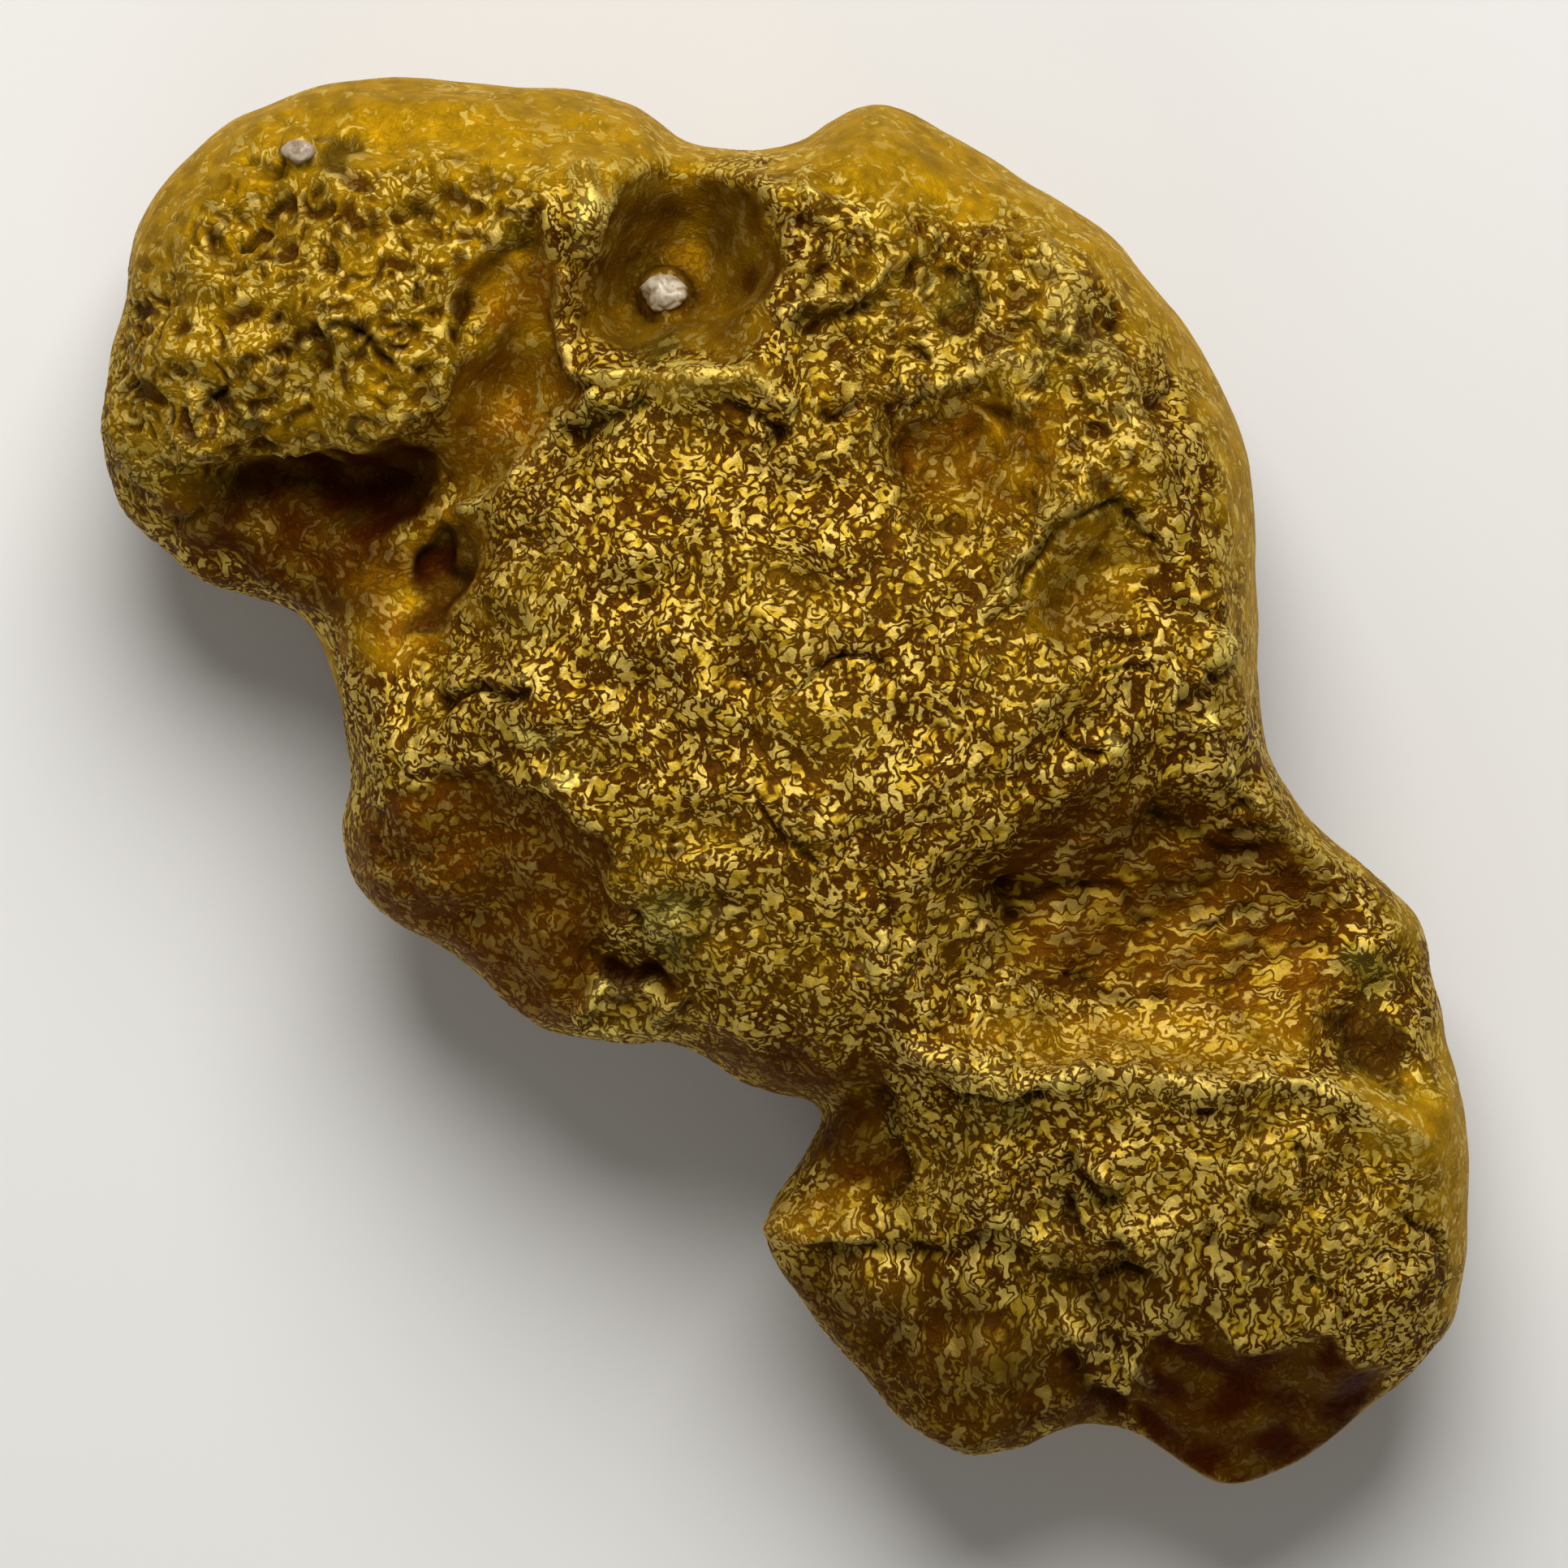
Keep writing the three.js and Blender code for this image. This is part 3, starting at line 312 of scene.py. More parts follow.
# Painted glints: pale gold painted on knobs, edges and lips where highlights fall: x, y, radius.
PAINTED_GLINTS = [
    ("head_knob", -7.35, 1.95, 0.5), ("bump", -5.5, 4.3, 0.22), ("bump_side", -4.9, 4.5, 0.17),
    ("foot", -2.8, -3.7, 0.3), ("foot_right", -2.1, -3.9, 0.26), ("slit", -3.6, -3.3, 0.15),
    ("shoulder", 2.85, 4.0, 0.26), ("corner", 3.65, 3.2, 0.20), ("corner_low", 4.0, 2.85, 0.20),
    ("edge", 2.85, 1.95, 0.17), ("ridge", 5.5, -1.85, 0.19), ("ridge_left", 4.75, -2.45, 0.17),
    ("lip", 0.35, -5.4, 0.2), ("lip_low", 0.75, -5.7, 0.22), ("trough", 4.95, 1.2, 0.14),
    ("foot_ridges", 0.25, -4.2, 0.26), ("ledge", -4.9, 1.15, 0.21),
    ("ledge_left", -5.6, 0.05, 0.13), ("dish", -2.05, 4.55, 0.10), ("middle", 0.95, 0.5, 0.12),
    ("neck", 2.9, -2.4, 0.26), ("head", -9.4, -3.75, 0.14), ("head_low", -8.8, -3.4, 0.12),
    ("tail", 9.4, -1.7, 0.14), ("tail_low", 7.9, -2.3, 0.15),
]
# The pitted head and crown, and the tail, whose flakes are bright: x, y, half sizes, turn, flat share.
HEAD = (-9.3, -1.6, 2.9, 4.2, 0, 0.6)
CROWN = (-2.6, 4.4, 4.2, 2.2, -8, 0.6)
TAIL = (8.5, -2.0, 4.5, 3.5, 0, 0.7)
# Where the flakes are drawn out into streaks: x, y, half sizes, turn, and a share. It is above 0 where they
# run down the flank, and below 0 where they run along the trough, square to that.
STREAKED = [
    ("tail_flank", 7.3, -4.8, 3.2, 1.6, 15, 1.0),
    ("tail_plateau", 9.2, -2.2, 2.2, 1.2, 35, 0.7),
    ("trough", 5.0, 0.9, 3.6, 1.7, 42, -1.0),
]
DOWN_THE_FLANK = np.array((1, -1, 0)) / math.sqrt(2)
ALONG_THE_TROUGH = np.array((1, 1, 0)) / math.sqrt(2)

# The camera looks straight down: the way that is up in its frame, what it looks at, the width it shows, and
# its lens in millimetres.
CAMERA_UP = Vector((-0.7193, 0.6947, 0))
CAMERA_TARGET = Vector((0.05, -1.63, 2.7)) * MM
CAMERA_WIDTH = 21.71 * MM
CAMERA_LENS = 600
# Each light's tilt from straight up and turn from the far side, in degrees, then its width in millimetres.
LIGHTS = (("key", 42, 0, 120), ("fill", 60, 170, 120))
LIGHT_DISTANCE = 150 * MM


def step(low, high, values):
    """0 below low, 1 above high, and a smooth rise between them."""
    share = np.clip((values - low) / (high - low), 0, 1)
    return share * share * (3 - 2 * share)


def from_path(points, path):
    """How far each point is from a path, seen from above, and on which side: above 0 on its left."""
    nearest, side = np.full(len(points), np.inf), np.zeros(len(points))
    for start, end in zip(path[:-1], path[1:]):
        along, offset = np.subtract(end, start), points[:, :2] - start
        share = np.clip(offset @ along / (along @ along), 0, 1)
        away = np.linalg.norm(offset - share[:, None] * along, axis=1)
        left = along[0] * offset[:, 1] - along[1] * offset[:, 0]
        side = np.where(away < nearest, np.sign(left), side)
        nearest = np.minimum(nearest, away)
    return nearest, side


def in_patch(points, x, y, half_x, half_y, turn, flat=0.4, edge=1.15):
    """1 in the flat middle of an oval patch, seen from above, and 0 past its edge, both in half sizes."""
    c, s = math.cos(math.radians(turn)), math.sin(math.radians(turn))
    dx, dy = points[:, 0] - x, points[:, 1] - y
    return 1 - step(flat, edge, np.hypot((dx * c + dy * s) / half_x, (dy * c - dx * s) / half_y))


def in_area(points, outline, blur):
    """1 inside a closed outline, seen from above, and 0 outside it, with an edge of the given width."""
    inside = np.zeros(len(points), bool)
    closed = outline + outline[:1]
    for (x0, y0), (x1, y1) in zip(closed[:-1], closed[1:]):
        beside = (y0 > points[:, 1]) != (y1 > points[:, 1])
        inside ^= beside & (points[:, 0] < x0 + (points[:, 1] - y0) * (x1 - x0) / ((y1 - y0) or 1))
    away = from_path(points, closed)[0]
    return step(-blur / 2, blur / 2, np.where(inside, away, -away))


def ripple(points, length, seed, waves=40):
    """Ridges and furrows one length apart that run every way, with a spread of 1, made of plane waves."""
    draw = np.random.default_rng(seed)
    ways = draw.normal(size=(waves, 3))
    ways *= 2 * math.pi / length / np.linalg.norm(ways, axis=1)[:, None]
    phases = draw.uniform(0, 2 * math.pi, waves)
    return np.cos(points @ ways.T + phases).sum(axis=1) * math.sqrt(2 / waves)


def cells(points, size, seed):
    """The distances to the nearest and the next nearest of points scattered one size apart, in sizes."""
    home = np.floor(points / size)
    first, second = np.full(len(points), 9.0), np.full(len(points), 9.0)
    # Any large unlike numbers do here: they turn a cell's place into an even scatter.
    mixer = np.array(((12.9898, 39.3467, 73.1561), (78.233, 11.135, 52.235), (37.719, 83.155, 9.1513)))
    for offset in np.ndindex(3, 3, 3):
        cell = home + np.array(offset) - 1
        mixed = cell @ mixer
        jitter = np.modf(np.abs(np.sin(mixed + seed)) * 43758.5453)[0]
        away = np.linalg.norm(points / size - cell - jitter, axis=1)
        second = np.minimum(second, np.maximum(first, away))
        first = np.minimum(first, away)
    return first, second


def points_of(mesh, kind="co"):
    """A mesh's vertices, or their normals, as rows of x, y, z."""
    found = np.zeros(len(mesh.vertices) * 3, np.float32)
    mesh.vertices.foreach_get(kind, found)
    return found.reshape(-1, 3).astype(float)


def eased(values, edges, turns):
    """Values at the vertices after each has moved half-way to its neighbours' mean, a number of times."""
    a, b = edges.T
    count = np.bincount(edges.ravel(), minlength=len(values))
    for _ in range(turns):
        sums = [np.bincount(a, v[b], len(v)) + np.bincount(b, v[a], len(v)) for v in values.T]
        values = 0.5 * values + 0.5 * (np.array(sums) / count).T
    return values


def fine_copy(node, name, levels):
    """A new mesh object with a CAD node's form, rounded and divided a number of times."""
    bm = bmesh.new()
    bm.from_mesh(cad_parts[node].data)
    bmesh.ops.remove_doubles(bm, verts=bm.verts, dist=WELD * MM)
    bmesh.ops.join_triangles(bm, faces=bm.faces, angle_face_threshold=math.pi, angle_shape_threshold=math.pi)
    mesh = bpy.data.meshes.new(name)
    bm.to_mesh(mesh)
    bm.free()
    piece = bpy.data.objects.new(name, mesh)
    bpy.context.collection.objects.link(piece)
    rounding = piece.modifiers.new("rounding", "SUBSURF")
    rounding.levels = rounding.render_levels = levels
    rounded = bpy.data.meshes.new_from_object(piece.evaluated_get(bpy.context.evaluated_depsgraph_get()))
    piece.modifiers.clear()
    piece.data = rounded
    rounded.name = name
    bpy.data.meshes.remove(mesh)
    return piece


def divide(bm, wanted):
    """Halves every edge that a test picks from the middles of them all, in millimetres."""
    bm.edges.ensure_lookup_table()
    middles = np.array([e.verts[0].co + e.verts[1].co for e in bm.edges]) / 2 / MM
    edges = [bm.edges[i] for i in np.flatnonzero(wanted(middles))]
    bmesh.ops.subdivide_edges(bm, edges=edges, cuts=1, use_grid_fill=True)


def smoothness(points):
    """How smoothly the gold is worn at each point of the upper face."""
    return np.max([worn * in_area(points, outline, edge) for _, edge, outline, _, worn, *_ in AREAS], axis=0)


def keep(mesh, name, values):
    """Stores one number at each vertex for the material to read."""
    mesh.attributes.new(name, "FLOAT", "POINT").data.foreach_set("value", values.astype(np.float32))


def colour(hexadecimal):
    """A linear colour from an sRGB hex value."""
    shares = [int(hexadecimal[i : i + 2], 16) / 255 for i in (1, 3, 5)]
    return [s / 12.92 if s <= 0.04045 else ((s + 0.055) / 1.055) ** 2.4 for s in shares] + [1]


def node(tree, kind, inputs=None, **settings):
    """Adds a node with its settings, and gives each input its value or another node's output.

    Inputs that share a name go by number. A Mix node takes its share at 0, numbers at 2 and 3, vectors at 4
    and 5, and colours at 6 and 7. A MapRange node takes its value at 0, and at 1 and 2 what becomes 0 and 1.
    """
    made = tree.nodes.new("ShaderNode" + kind)
    for name, value in settings.items():
        setattr(made, name, value)
    for name, value in (inputs or {}).items():
        if isinstance(value, bpy.types.NodeSocket):
            tree.links.new(value, made.inputs[name])
        else:
            made.inputs[name].default_value = value
    return made


def empty_material(name):
    """A material with no nodes yet, and the tree that they go in."""
    made = bpy.data.materials.new(name)
    made.use_nodes = True
    made.node_tree.nodes.clear()
    return made, made.node_tree


def native_gold(settings):
    """Native gold, grown in rock and worn by a stream.

    The eye sees pale flakes of every brightness with brown stain between them, deep yellow rims worn smooth,
    and iron brown or olive film in the hollows. Shade is painted on as dark brown in the crevices, pits and
    slopes turned from the light, and highlights as pale gold spots.
    """
    made, tree = empty_material("native_gold_worn_by_a_stream")
    places = node(tree, "TexCoord").outputs["Object"]
    names = ("rough", "sunk", "flakes", "streaked", "iron_stain", "brown_film_and_shade", "olive", "painted_glint")
    kept = {name: node(tree, "Attribute", attribute_name=name).outputs["Fac"] for name in names}

    # In millimetres, each with its detail: patches of slightly different alloy, the mottling of the rims, the
    # wavering of the flakes' outlines, and grit.
    sizes = {"alloy": (1.5, 2), "mottling": (0.3, 4), "wavering": (0.22, 1), "grit": (0.04, 3)}
    noise = {name: node(tree, "TexNoise", {"Vector": places, "Scale": 1 / (size * MM), "Detail": detail})
             for name, (size, detail) in sizes.items()}
    alloy, mottling, grit = (noise[name].outputs["Fac"] for name in ("alloy", "mottling", "grit"))

    # The flakes lie every way: cells of 0.18 by 0.43 mm, turned by another angle from patch to patch, and
    # bent by the wavering. Every cell has a brightness of its own, and dark stain shows where two meet.
    wander = noise["wavering"].outputs["Color"]
    middle = node(tree, "VectorMath", {0: wander, 1: (0.5, 0.5, 0.5)}, operation="SUBTRACT")
    bend = node(tree, "VectorMath", {0: middle.outputs[0], "Scale": 0.45 * MM}, operation="SCALE")
    bent = node(tree, "VectorMath", {0: places, 1: bend.outputs[0]}, operation="ADD").outputs[0]
    swing = node(tree, "Math", {0: alloy, 1: 25.0}, operation="MULTIPLY").outputs[0]
    any_way = node(tree, "Math", {0: swing, 1: 0.7}, operation="SNAP").outputs[0]
    drawn = node(tree, "Math", {0: kept["streaked"]}, operation="ABSOLUTE").outputs[0]
    in_streaks = node(tree, "Math", {0: drawn, 1: 0.5}, operation="GREATER_THAN").outputs[0]
    side = node(tree, "Math", {0: kept["streaked"]}, operation="SIGN").outputs[0]
    one_way = node(tree, "Math", {0: side, 1: math.pi / 4}, operation="MULTIPLY").outputs[0]
    angle = node(tree, "Mix", {0: in_streaks, 2: any_way, 3: one_way}).outputs[0]
    turned = node(tree, "VectorRotate", {"Vector": bent, "Angle": angle}, rotation_type="Z_AXIS").outputs[0]
    stretches = {0: in_streaks, 4: (0.42, 1.0, 0.8), 5: (0.3, 1.4, 0.3)}
    stretch = node(tree, "Mix", stretches, data_type="VECTOR").outputs[1]
    drawn_out = node(tree, "VectorMath", {0: turned, 1: stretch}, operation="MULTIPLY").outputs[0]
    cell = {"Vector": drawn_out, "Scale": 1 / (settings.flake_width * MM)}
    edge = node(tree, "TexVoronoi", cell, feature="DISTANCE_TO_EDGE").outputs["Distance"]
    tone = node(tree, "SeparateColor", {0: node(tree, "TexVoronoi", cell).outputs["Color"]}).outputs[0]
    whole = node(tree, "Math", {0: grit, 1: 0.12, 2: edge}, operation="MULTIPLY_ADD").outputs[0]
    flake = node(tree, "MapRange", {0: whole, 1: 0.11, 2: 0.22}, interpolation_type="SMOOTHSTEP").outputs[0]
    # The kept flake share carries painted light: brighter where the skin stands out or glints, darker in
    # shade.
    lifted = node(tree, "Math", {0: kept["flakes"], 1: 0.13, 2: tone}, operation="MULTIPLY_ADD").outputs[0]
    lit = node(tree, "Math", {0: mottling, 1: 0.5, 2: lifted}, operation="MULTIPLY_ADD").outputs[0]

    # Each tone of flake starts and ends at a brightness of its own, from the dullest to the palest.
    gold = settings.gap
    for low, high, tint in ((0.33, 0.45, settings.dull_flake), (0.45, 0.62, settings.yellow_flake),
                            (0.66, 1.1, settings.pale_flake)):
        share = node(tree, "MapRange", {0: lit, 1: low, 2: high}).outputs[0]
        gold = node(tree, "Mix", {0: share, 6: gold, 7: tint}, data_type="RGBA").outputs[2]

    # Below and between the flakes is stain where it is rough, and mottled gold where it is worn. The rougher
    # it is, the more of it the flakes cover. Stains and films lie over both, with painted shade in the film
    # and the crevices, and painted highlights on the pale spots.
    mottled = node(tree, "MapRange", {0: mottling, 1: 0.36, 2: 0.62}).outputs[0]
    smooth_rims = {0: mottled, 6: settings.dull_gold, 7: settings.worn_gold}
    worn = node(tree, "Mix", smooth_rims, data_type="RGBA").outputs[2]
    stained = node(tree, "MapRange", {0: kept["rough"], 1: 0.3, 2: 0.75}).outputs[0]
    ground = node(tree, "Mix", {0: stained, 6: worn, 7: settings.gap}, data_type="RGBA").outputs[2]
    left = node(tree, "Math", {0: tone, 1: 0.5, 2: kept["rough"]}, operation="MULTIPLY_ADD").outputs[0]
    covered = node(tree, "MapRange", {0: left, 1: 0.45, 2: 0.7, "To Max": flake}).outputs[0]
    gold = node(tree, "Mix", {0: covered, 6: ground, 7: gold}, data_type="RGBA").outputs[2]
    alloyed = node(tree, "MapRange", {0: alloy, 1: 0.45, 2: 0.7}).outputs[0]
    between = node(tree, "MapRange", {0: flake, "To Min": 0.85, "To Max": 0.45}).outputs[0]
    on_flakes = node(tree, "MapRange", {0: flake, "To Min": 0.2}).outputs[0]
    layers = ((alloyed, 0.25, settings.dull_gold), (kept["iron_stain"], between, settings.iron_stain),
              (kept["olive"], 0.7, settings.olive), (kept["brown_film_and_shade"], 1.0, settings.brown_film_and_shade),
              (kept["sunk"], 1.0, settings.crevice_shade), (kept["painted_glint"], on_flakes, settings.painted_glint_gold))
    for share, strength, tint in layers:
        amount = node(tree, "Math", {0: share, 1: strength}, operation="MULTIPLY").outputs[0]
        gold = node(tree, "Mix", {0: amount, 6: gold, 7: tint}, data_type="RGBA").outputs[2]

    # The flakes are a little glossier than what is between them, and stand about 0.01 mm above it.
    dull = node(tree, "MapRange", {0: flake, "To Min": 0.75, "To Max": 0.64}).outputs[0]
    gritty = node(tree, "Math", {0: grit, 1: 0.14, 2: dull}, operation="MULTIPLY_ADD").outputs[0]
    height = node(tree, "Math", {0: flake, 1: kept["rough"], 2: grit}, operation="MULTIPLY_ADD").outputs[0]
    bump = node(tree, "Bump", {"Height": height, "Strength": 1.0, "Distance": 0.012 * MM}).outputs[0]
    metal = {"Base Color": gold, "Metallic": 1.0, "Roughness": gritty, "Normal": bump}
    node(tree, "OutputMaterial", {"Surface": node(tree, "BsdfPrincipled", metal).outputs[0]})
    return made


def milky_quartz(settings):
    """Milky quartz, broken from a vein and rounded by a stream: cloudy grey-white, brown in its flaws."""
    made, tree = empty_material("milky_quartz_rounded_by_a_stream")
    places = node(tree, "TexCoord").outputs["Object"]
    stained = node(tree, "Attribute", attribute_name="stained").outputs["Fac"]
    cloud_size = 0.22 * MM
    clouds = node(tree, "TexNoise", {"Vector": places, "Scale": 1 / cloud_size, "Detail": 4.0}).outputs["Fac"]
    cloudy = node(tree, "MapRange", {0: clouds, 1: 0.38, 2: 0.6}).outputs[0]
    stone = node(tree, "Mix", {0: cloudy, 6: settings.flaw, 7: settings.cloud}, data_type="RGBA").outputs[2]
    stone = node(tree, "Mix", {0: stained, 6: stone, 7: settings.stained_quartz}, data_type="RGBA").outputs[2]
    bump = node(tree, "Bump", {"Height": clouds, "Strength": 0.5, "Distance": 0.01 * MM}).outputs[0]
    grain = {"Base Color": stone, "Roughness": 0.4, "IOR": 1.54, "Normal": bump}
    node(tree, "OutputMaterial", {"Surface": node(tree, "BsdfPrincipled", grain).outputs[0]})
    return made


def placed_relief(top, open_top, wavering, strokes_at):
    """The relief of the scarps, crests, creases and pits, and each point's share of the last three."""
    relief, in_a_pit = np.zeros(len(top)), np.zeros(len(top))
    for _, path, reach, height in SCARPS:
        away, side = from_path(strokes_at, path)
        relief += open_top * 0.5 * height * np.tanh(side * away / SCARP_BREAK) * (1 - step(0.1, reach, away))
    crested, creased = np.zeros(len(top)), np.zeros(len(top))
    for strokes, share, traced in ((CRESTS, top, crested), (CREASES, open_top, creased)):
        for _, path, reach, height in strokes:
            stroke = share * (1 - step(0, reach, from_path(strokes_at, path)[0]))
            relief += height * stroke
            np.maximum(traced, stroke, out=traced)
    for _, x, y, half_x, half_y, turn, depth in PITS:
        share = in_patch(wavering, x, y, half_x, half_y, turn)
        relief -= open_top * depth * share
        in_a_pit = np.maximum(in_a_pit, share)
    return relief, crested, creased, in_a_pit


def round_the_quartz(p, top, relief):
    """The relief with a smooth collar of gold that rises round each grain and holds it."""
    for size, _ in GRAINS:
        low, high = (np.array(corner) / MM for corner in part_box("quartz_grain_" + size))
        away = np.hypot(p[:, 0] - (low[0] + high[0]) / 2, p[:, 1] - (low[1] + high[1]) / 2)
        reach = (high[0] - low[0]) / 2
        collar = step(-COLLAR_OUTSIDE, -COLLAR_INSIDE, -away / reach)
        relief = relief * (1 - collar) + COLLAR_HEIGHT * (high[2] - low[2]) * collar * top
    return relief


def shape_skin(mesh, settings):
    """Gives the nugget's skin its creases, pits and flakes, and keeps what the material reads from them."""
    edges = np.array([e.vertices for e in mesh.edges])
    p = eased(points_of(mesh) / MM, edges, ROUNDING_TURNS)
    mesh.vertices.foreach_set("co", (p * MM).astype(np.float32).ravel())
    mesh.update()
    n = points_of(mesh, "normal")

    # The upper face with its sides, the same without them, and what calms the relief on the steep sides.
    top = step(0.0, 0.35, n[:, 2])
    open_top = step(0.25, 0.6, n[:, 2])
    calm = 0.3 + 0.7 * step(0.1, 0.5, np.abs(n[:, 2]))
    waver = np.stack([ripple(p, 0.7, seed) for seed in (1, 2, 3)], axis=1)
    wavering = p + OUTLINE_WAVER * waver
    relief, crested, creased, in_a_pit = placed_relief(top, open_top, wavering, p + STROKE_WAVER * waver)

    # Each area sinks and gives its shares of wear, stain, and film with painted shade. The underside is worn
    # in broad patches.
    inside = np.array([in_area(wavering, outline, edge) for _, edge, outline, *_ in AREAS])
    sink, *shares = np.array([shares for _, _, _, *shares in AREAS]).T
    worn, stained, film_and_shade, olive = ((share[:, None] * inside).max(axis=0) for share in shares)
    stained, film_and_shade, olive = stained * top, film_and_shade * top, olive * top
    sunk_areas = top * (sink[:, None] * inside).max(axis=0)
    relief -= open_top * sunk_areas
    under = 1 - step(-0.5, 0.1, n[:, 2] + 0.25 * ripple(p, 2.5, 51))
    worn = np.maximum(worn, under * (0.7 + 0.2 * ripple(p, 1.8, 52)))
    worn = np.clip(worn, 0, 1)
    head, crown = top * in_patch(p, *HEAD), top * in_patch(p, *CROWN)
    streaked = top * np.sum([share * in_patch(p, *patch) for _, *patch, share in STREAKED], axis=0)

    # Hummocks, and pits with sharp rims between them.
    hummocks = calm * (0.06 - 0.035 * worn) * ripple(p, 1.1, 11)
    relief += hummocks + calm * (0.014 - 0.008 * worn) * ripple(p, 0.55, 12)
    first, second = cells(p + 0.1 * ripple(p, 0.5, 21)[:, None], settings.pit_width, 4.0)
    rims = 1 - step(0.0, 0.5, second - first)
    pitted = np.maximum(head, 0.9 * crown) * (1 - worn)
    relief += settings.pit_depth * pitted * (rims - 0.5)

    # The flakes: ridges like short worms, drawn out into streaks on the tail's flank and along the trough.
    drawn = p.copy()
    for share, way in ((streaked, DOWN_THE_FLANK), (-streaked, ALONG_THE_TROUGH)):
        drawn -= 0.6 * (np.clip(share, 0, 1) * (p @ way))[:, None] * way
    width = settings.flake_width
    flakes = 0.8 * ripple(drawn, width, 31) + 0.5 * ripple(drawn, width * 0.65, 32)
    flakes += 0.45 * ripple(drawn, width * 1.9, 33)
    patchy = 0.8 + 0.2 * step(-1, 1, ripple(p, 1.6, 41))
    rough = (1 - worn) * (1 - np.maximum(0.5 * head, 0.35 * crown)) * patchy
    flake_relief = calm * settings.flake_height * (0.1 + 0.9 * rough) * (1 - 0.65 * head)
    relief += flake_relief * (step(-0.8, 0.8, flakes) - 0.75)

    p = p + round_the_quartz(p, top, relief)[:, None] * n
    low, high = (np.array(corner) / MM for corner in CAD_BOX)
    p = np.clip(p, low + BOX_CLEARANCE, high - BOX_CLEARANCE)
    mesh.vertices.foreach_set("co", (p * MM).astype(np.float32).ravel())
    mesh.update()

    # How far each point is below the mean of its near and its far surroundings: the hollows get painted
    # shade.
    near = ((eased(p, edges, NEAR_TURNS) - p) * n).sum(axis=1)
    far = ((eased(p, edges, FAR_TURNS) - p) * n).sum(axis=1)
    blotches = 0.8 + 0.2 * ripple(p, 0.7, 61)
    # Painted highlights: pale gold on the spots above and on part of the crests, broken up by a ripple.
    painted_glint = top * np.max([in_patch(wavering, x, y, radius, radius, 0) for _, x, y, radius in PAINTED_GLINTS], axis=0)
    painted_glint = np.maximum(painted_glint, 0.3 * crested) * step(-0.8, 0.6, ripple(p, 0.4, 62))
    # The pits take the dark brown film, partly brown film and partly painted shade.
    pit_film_and_shade = top * np.maximum(0.6 * in_a_pit, 0.85 * pitted * (1 - rims))
    green = top * np.max([share * in_patch(wavering, *patch) for _, *patch, share in OLIVE], axis=0)
    # Hollows and half of each crease take the darkest brown: painted shade where the light doesn't reach.
    deep = np.clip(step(0.015, 0.1, near) * 0.5 + step(0.04, 0.22, far) * 0.5, 0, 1)
    keep(mesh, "sunk", np.maximum(deep, 0.5 * creased))
    tail = top * in_patch(p, *TAIL)
    # Flake brightness: the head and tail are brighter, and painted light lifts it on what stands out, on
    # crests and on the pale glint spots, and painted shade lowers it on the filmed slopes.
    raised = np.clip(-25 * near, -1, 1) + np.clip(-8 * far, -1, 1)
    keep(mesh, "flakes", flakes + raised + 0.5 * head + 1.1 * tail + 2 * painted_glint + 2 * crested - 1.6 * film_and_shade)
    keep(mesh, "rough", rough)
    keep(mesh, "streaked", streaked)
    keep(mesh, "iron_stain", np.clip(stained * blotches, 0, 1))
    keep(mesh, "brown_film_and_shade", np.clip(np.maximum(film_and_shade * (0.6 + 0.4 * blotches), pit_film_and_shade), 0, 1))
    keep(mesh, "olive", np.clip(np.maximum(olive, green) * blotches, 0, 1))
    keep(mesh, "painted_glint", painted_glint)


def in_mm(name, description, default):
    """A size that is set in millimetres."""
    return bpy.props.FloatProperty(name=name, description=description + ", in mm", default=default, min=0)


def shade(name, description, hexadecimal):
    """A colour, given as sRGB hex and kept linear."""
    return bpy.props.FloatVectorProperty(
        name=name, description=description, default=colour(hexadecimal),
        subtype="COLOR", size=4, min=0, max=1)


class NuggetSettings(bpy.types.PropertyGroup):
    """Sizes and colours of the gold and its quartz."""

    flake_width: in_mm("Flake width", "Width of a flake and the stain beside it", 0.18)
    flake_height: in_mm("Flake height", "Height of the ridges that flakes lie in", 0.04)
    pit_width: in_mm("Pit width", "Distance from pit to pit on the head", 0.46)
    pit_depth: in_mm("Pit depth", "Depth of a pit on the head", 0.08)
    worn_gold: shade("Worn gold", "The smooth rims", "#B48B0A")
    dull_gold: shade("Dull gold", "The mottling on the rims", "#98740A")
    pale_flake: shade("Pale flakes", "The palest flakes", "#CCB25B")
    yellow_flake: shade("Yellow flakes", "The flakes in between", "#BFA02F")
    dull_flake: shade("Dull flakes", "The darkest flakes", "#957315")
    gap: shade("Gaps", "The stain between the flakes", "#583309")
    iron_stain: shade("Iron stain", "The orange-brown stain in the hollows", "#8E5608")
    # Brown film is partly dark film and partly painted shade on the slopes turned from the light and in pits.
    brown_film_and_shade: shade("Brown film", "The dark film on the shaded sides", "#431B03")
    olive: shade("Olive film", "The greenish film", "#55511A")
    # Crevice is painted shade in the hollows and creases.
    crevice_shade: shade("Crevice", "The deepest places", "#240F02")
    # Rubbed gold is painted glints: pale gold where highlights fall.
    painted_glint_gold: shade("Rubbed gold", "The bare bright spots", "#E0CC6C")
    cloud: shade("Quartz", "The milky quartz", "#AEA188")
    stained_quartz: shade("Stained quartz", "The stain on the small grain", "#7E6650")
    flaw: shade("Flaws in the quartz", "The darker flaws in the quartz", "#6A563A")


class StageSettings(bpy.types.PropertyGroup):
    """The floor and the lights."""

    floor: shade("Floor", "The plain floor", "#C6C4C0")
    key_power: bpy.props.FloatProperty(
        name="Key light", description="The soft light above the far side", unit="POWER", default=0.4, min=0)
    fill_power: bpy.props.FloatProperty(
        name="Fill light", description="The weak light across from it", unit="POWER", default=0.06, min=0)
    sky: bpy.props.FloatProperty(
        name="Room", description="Brightness of the room all round", default=0.15, min=0)


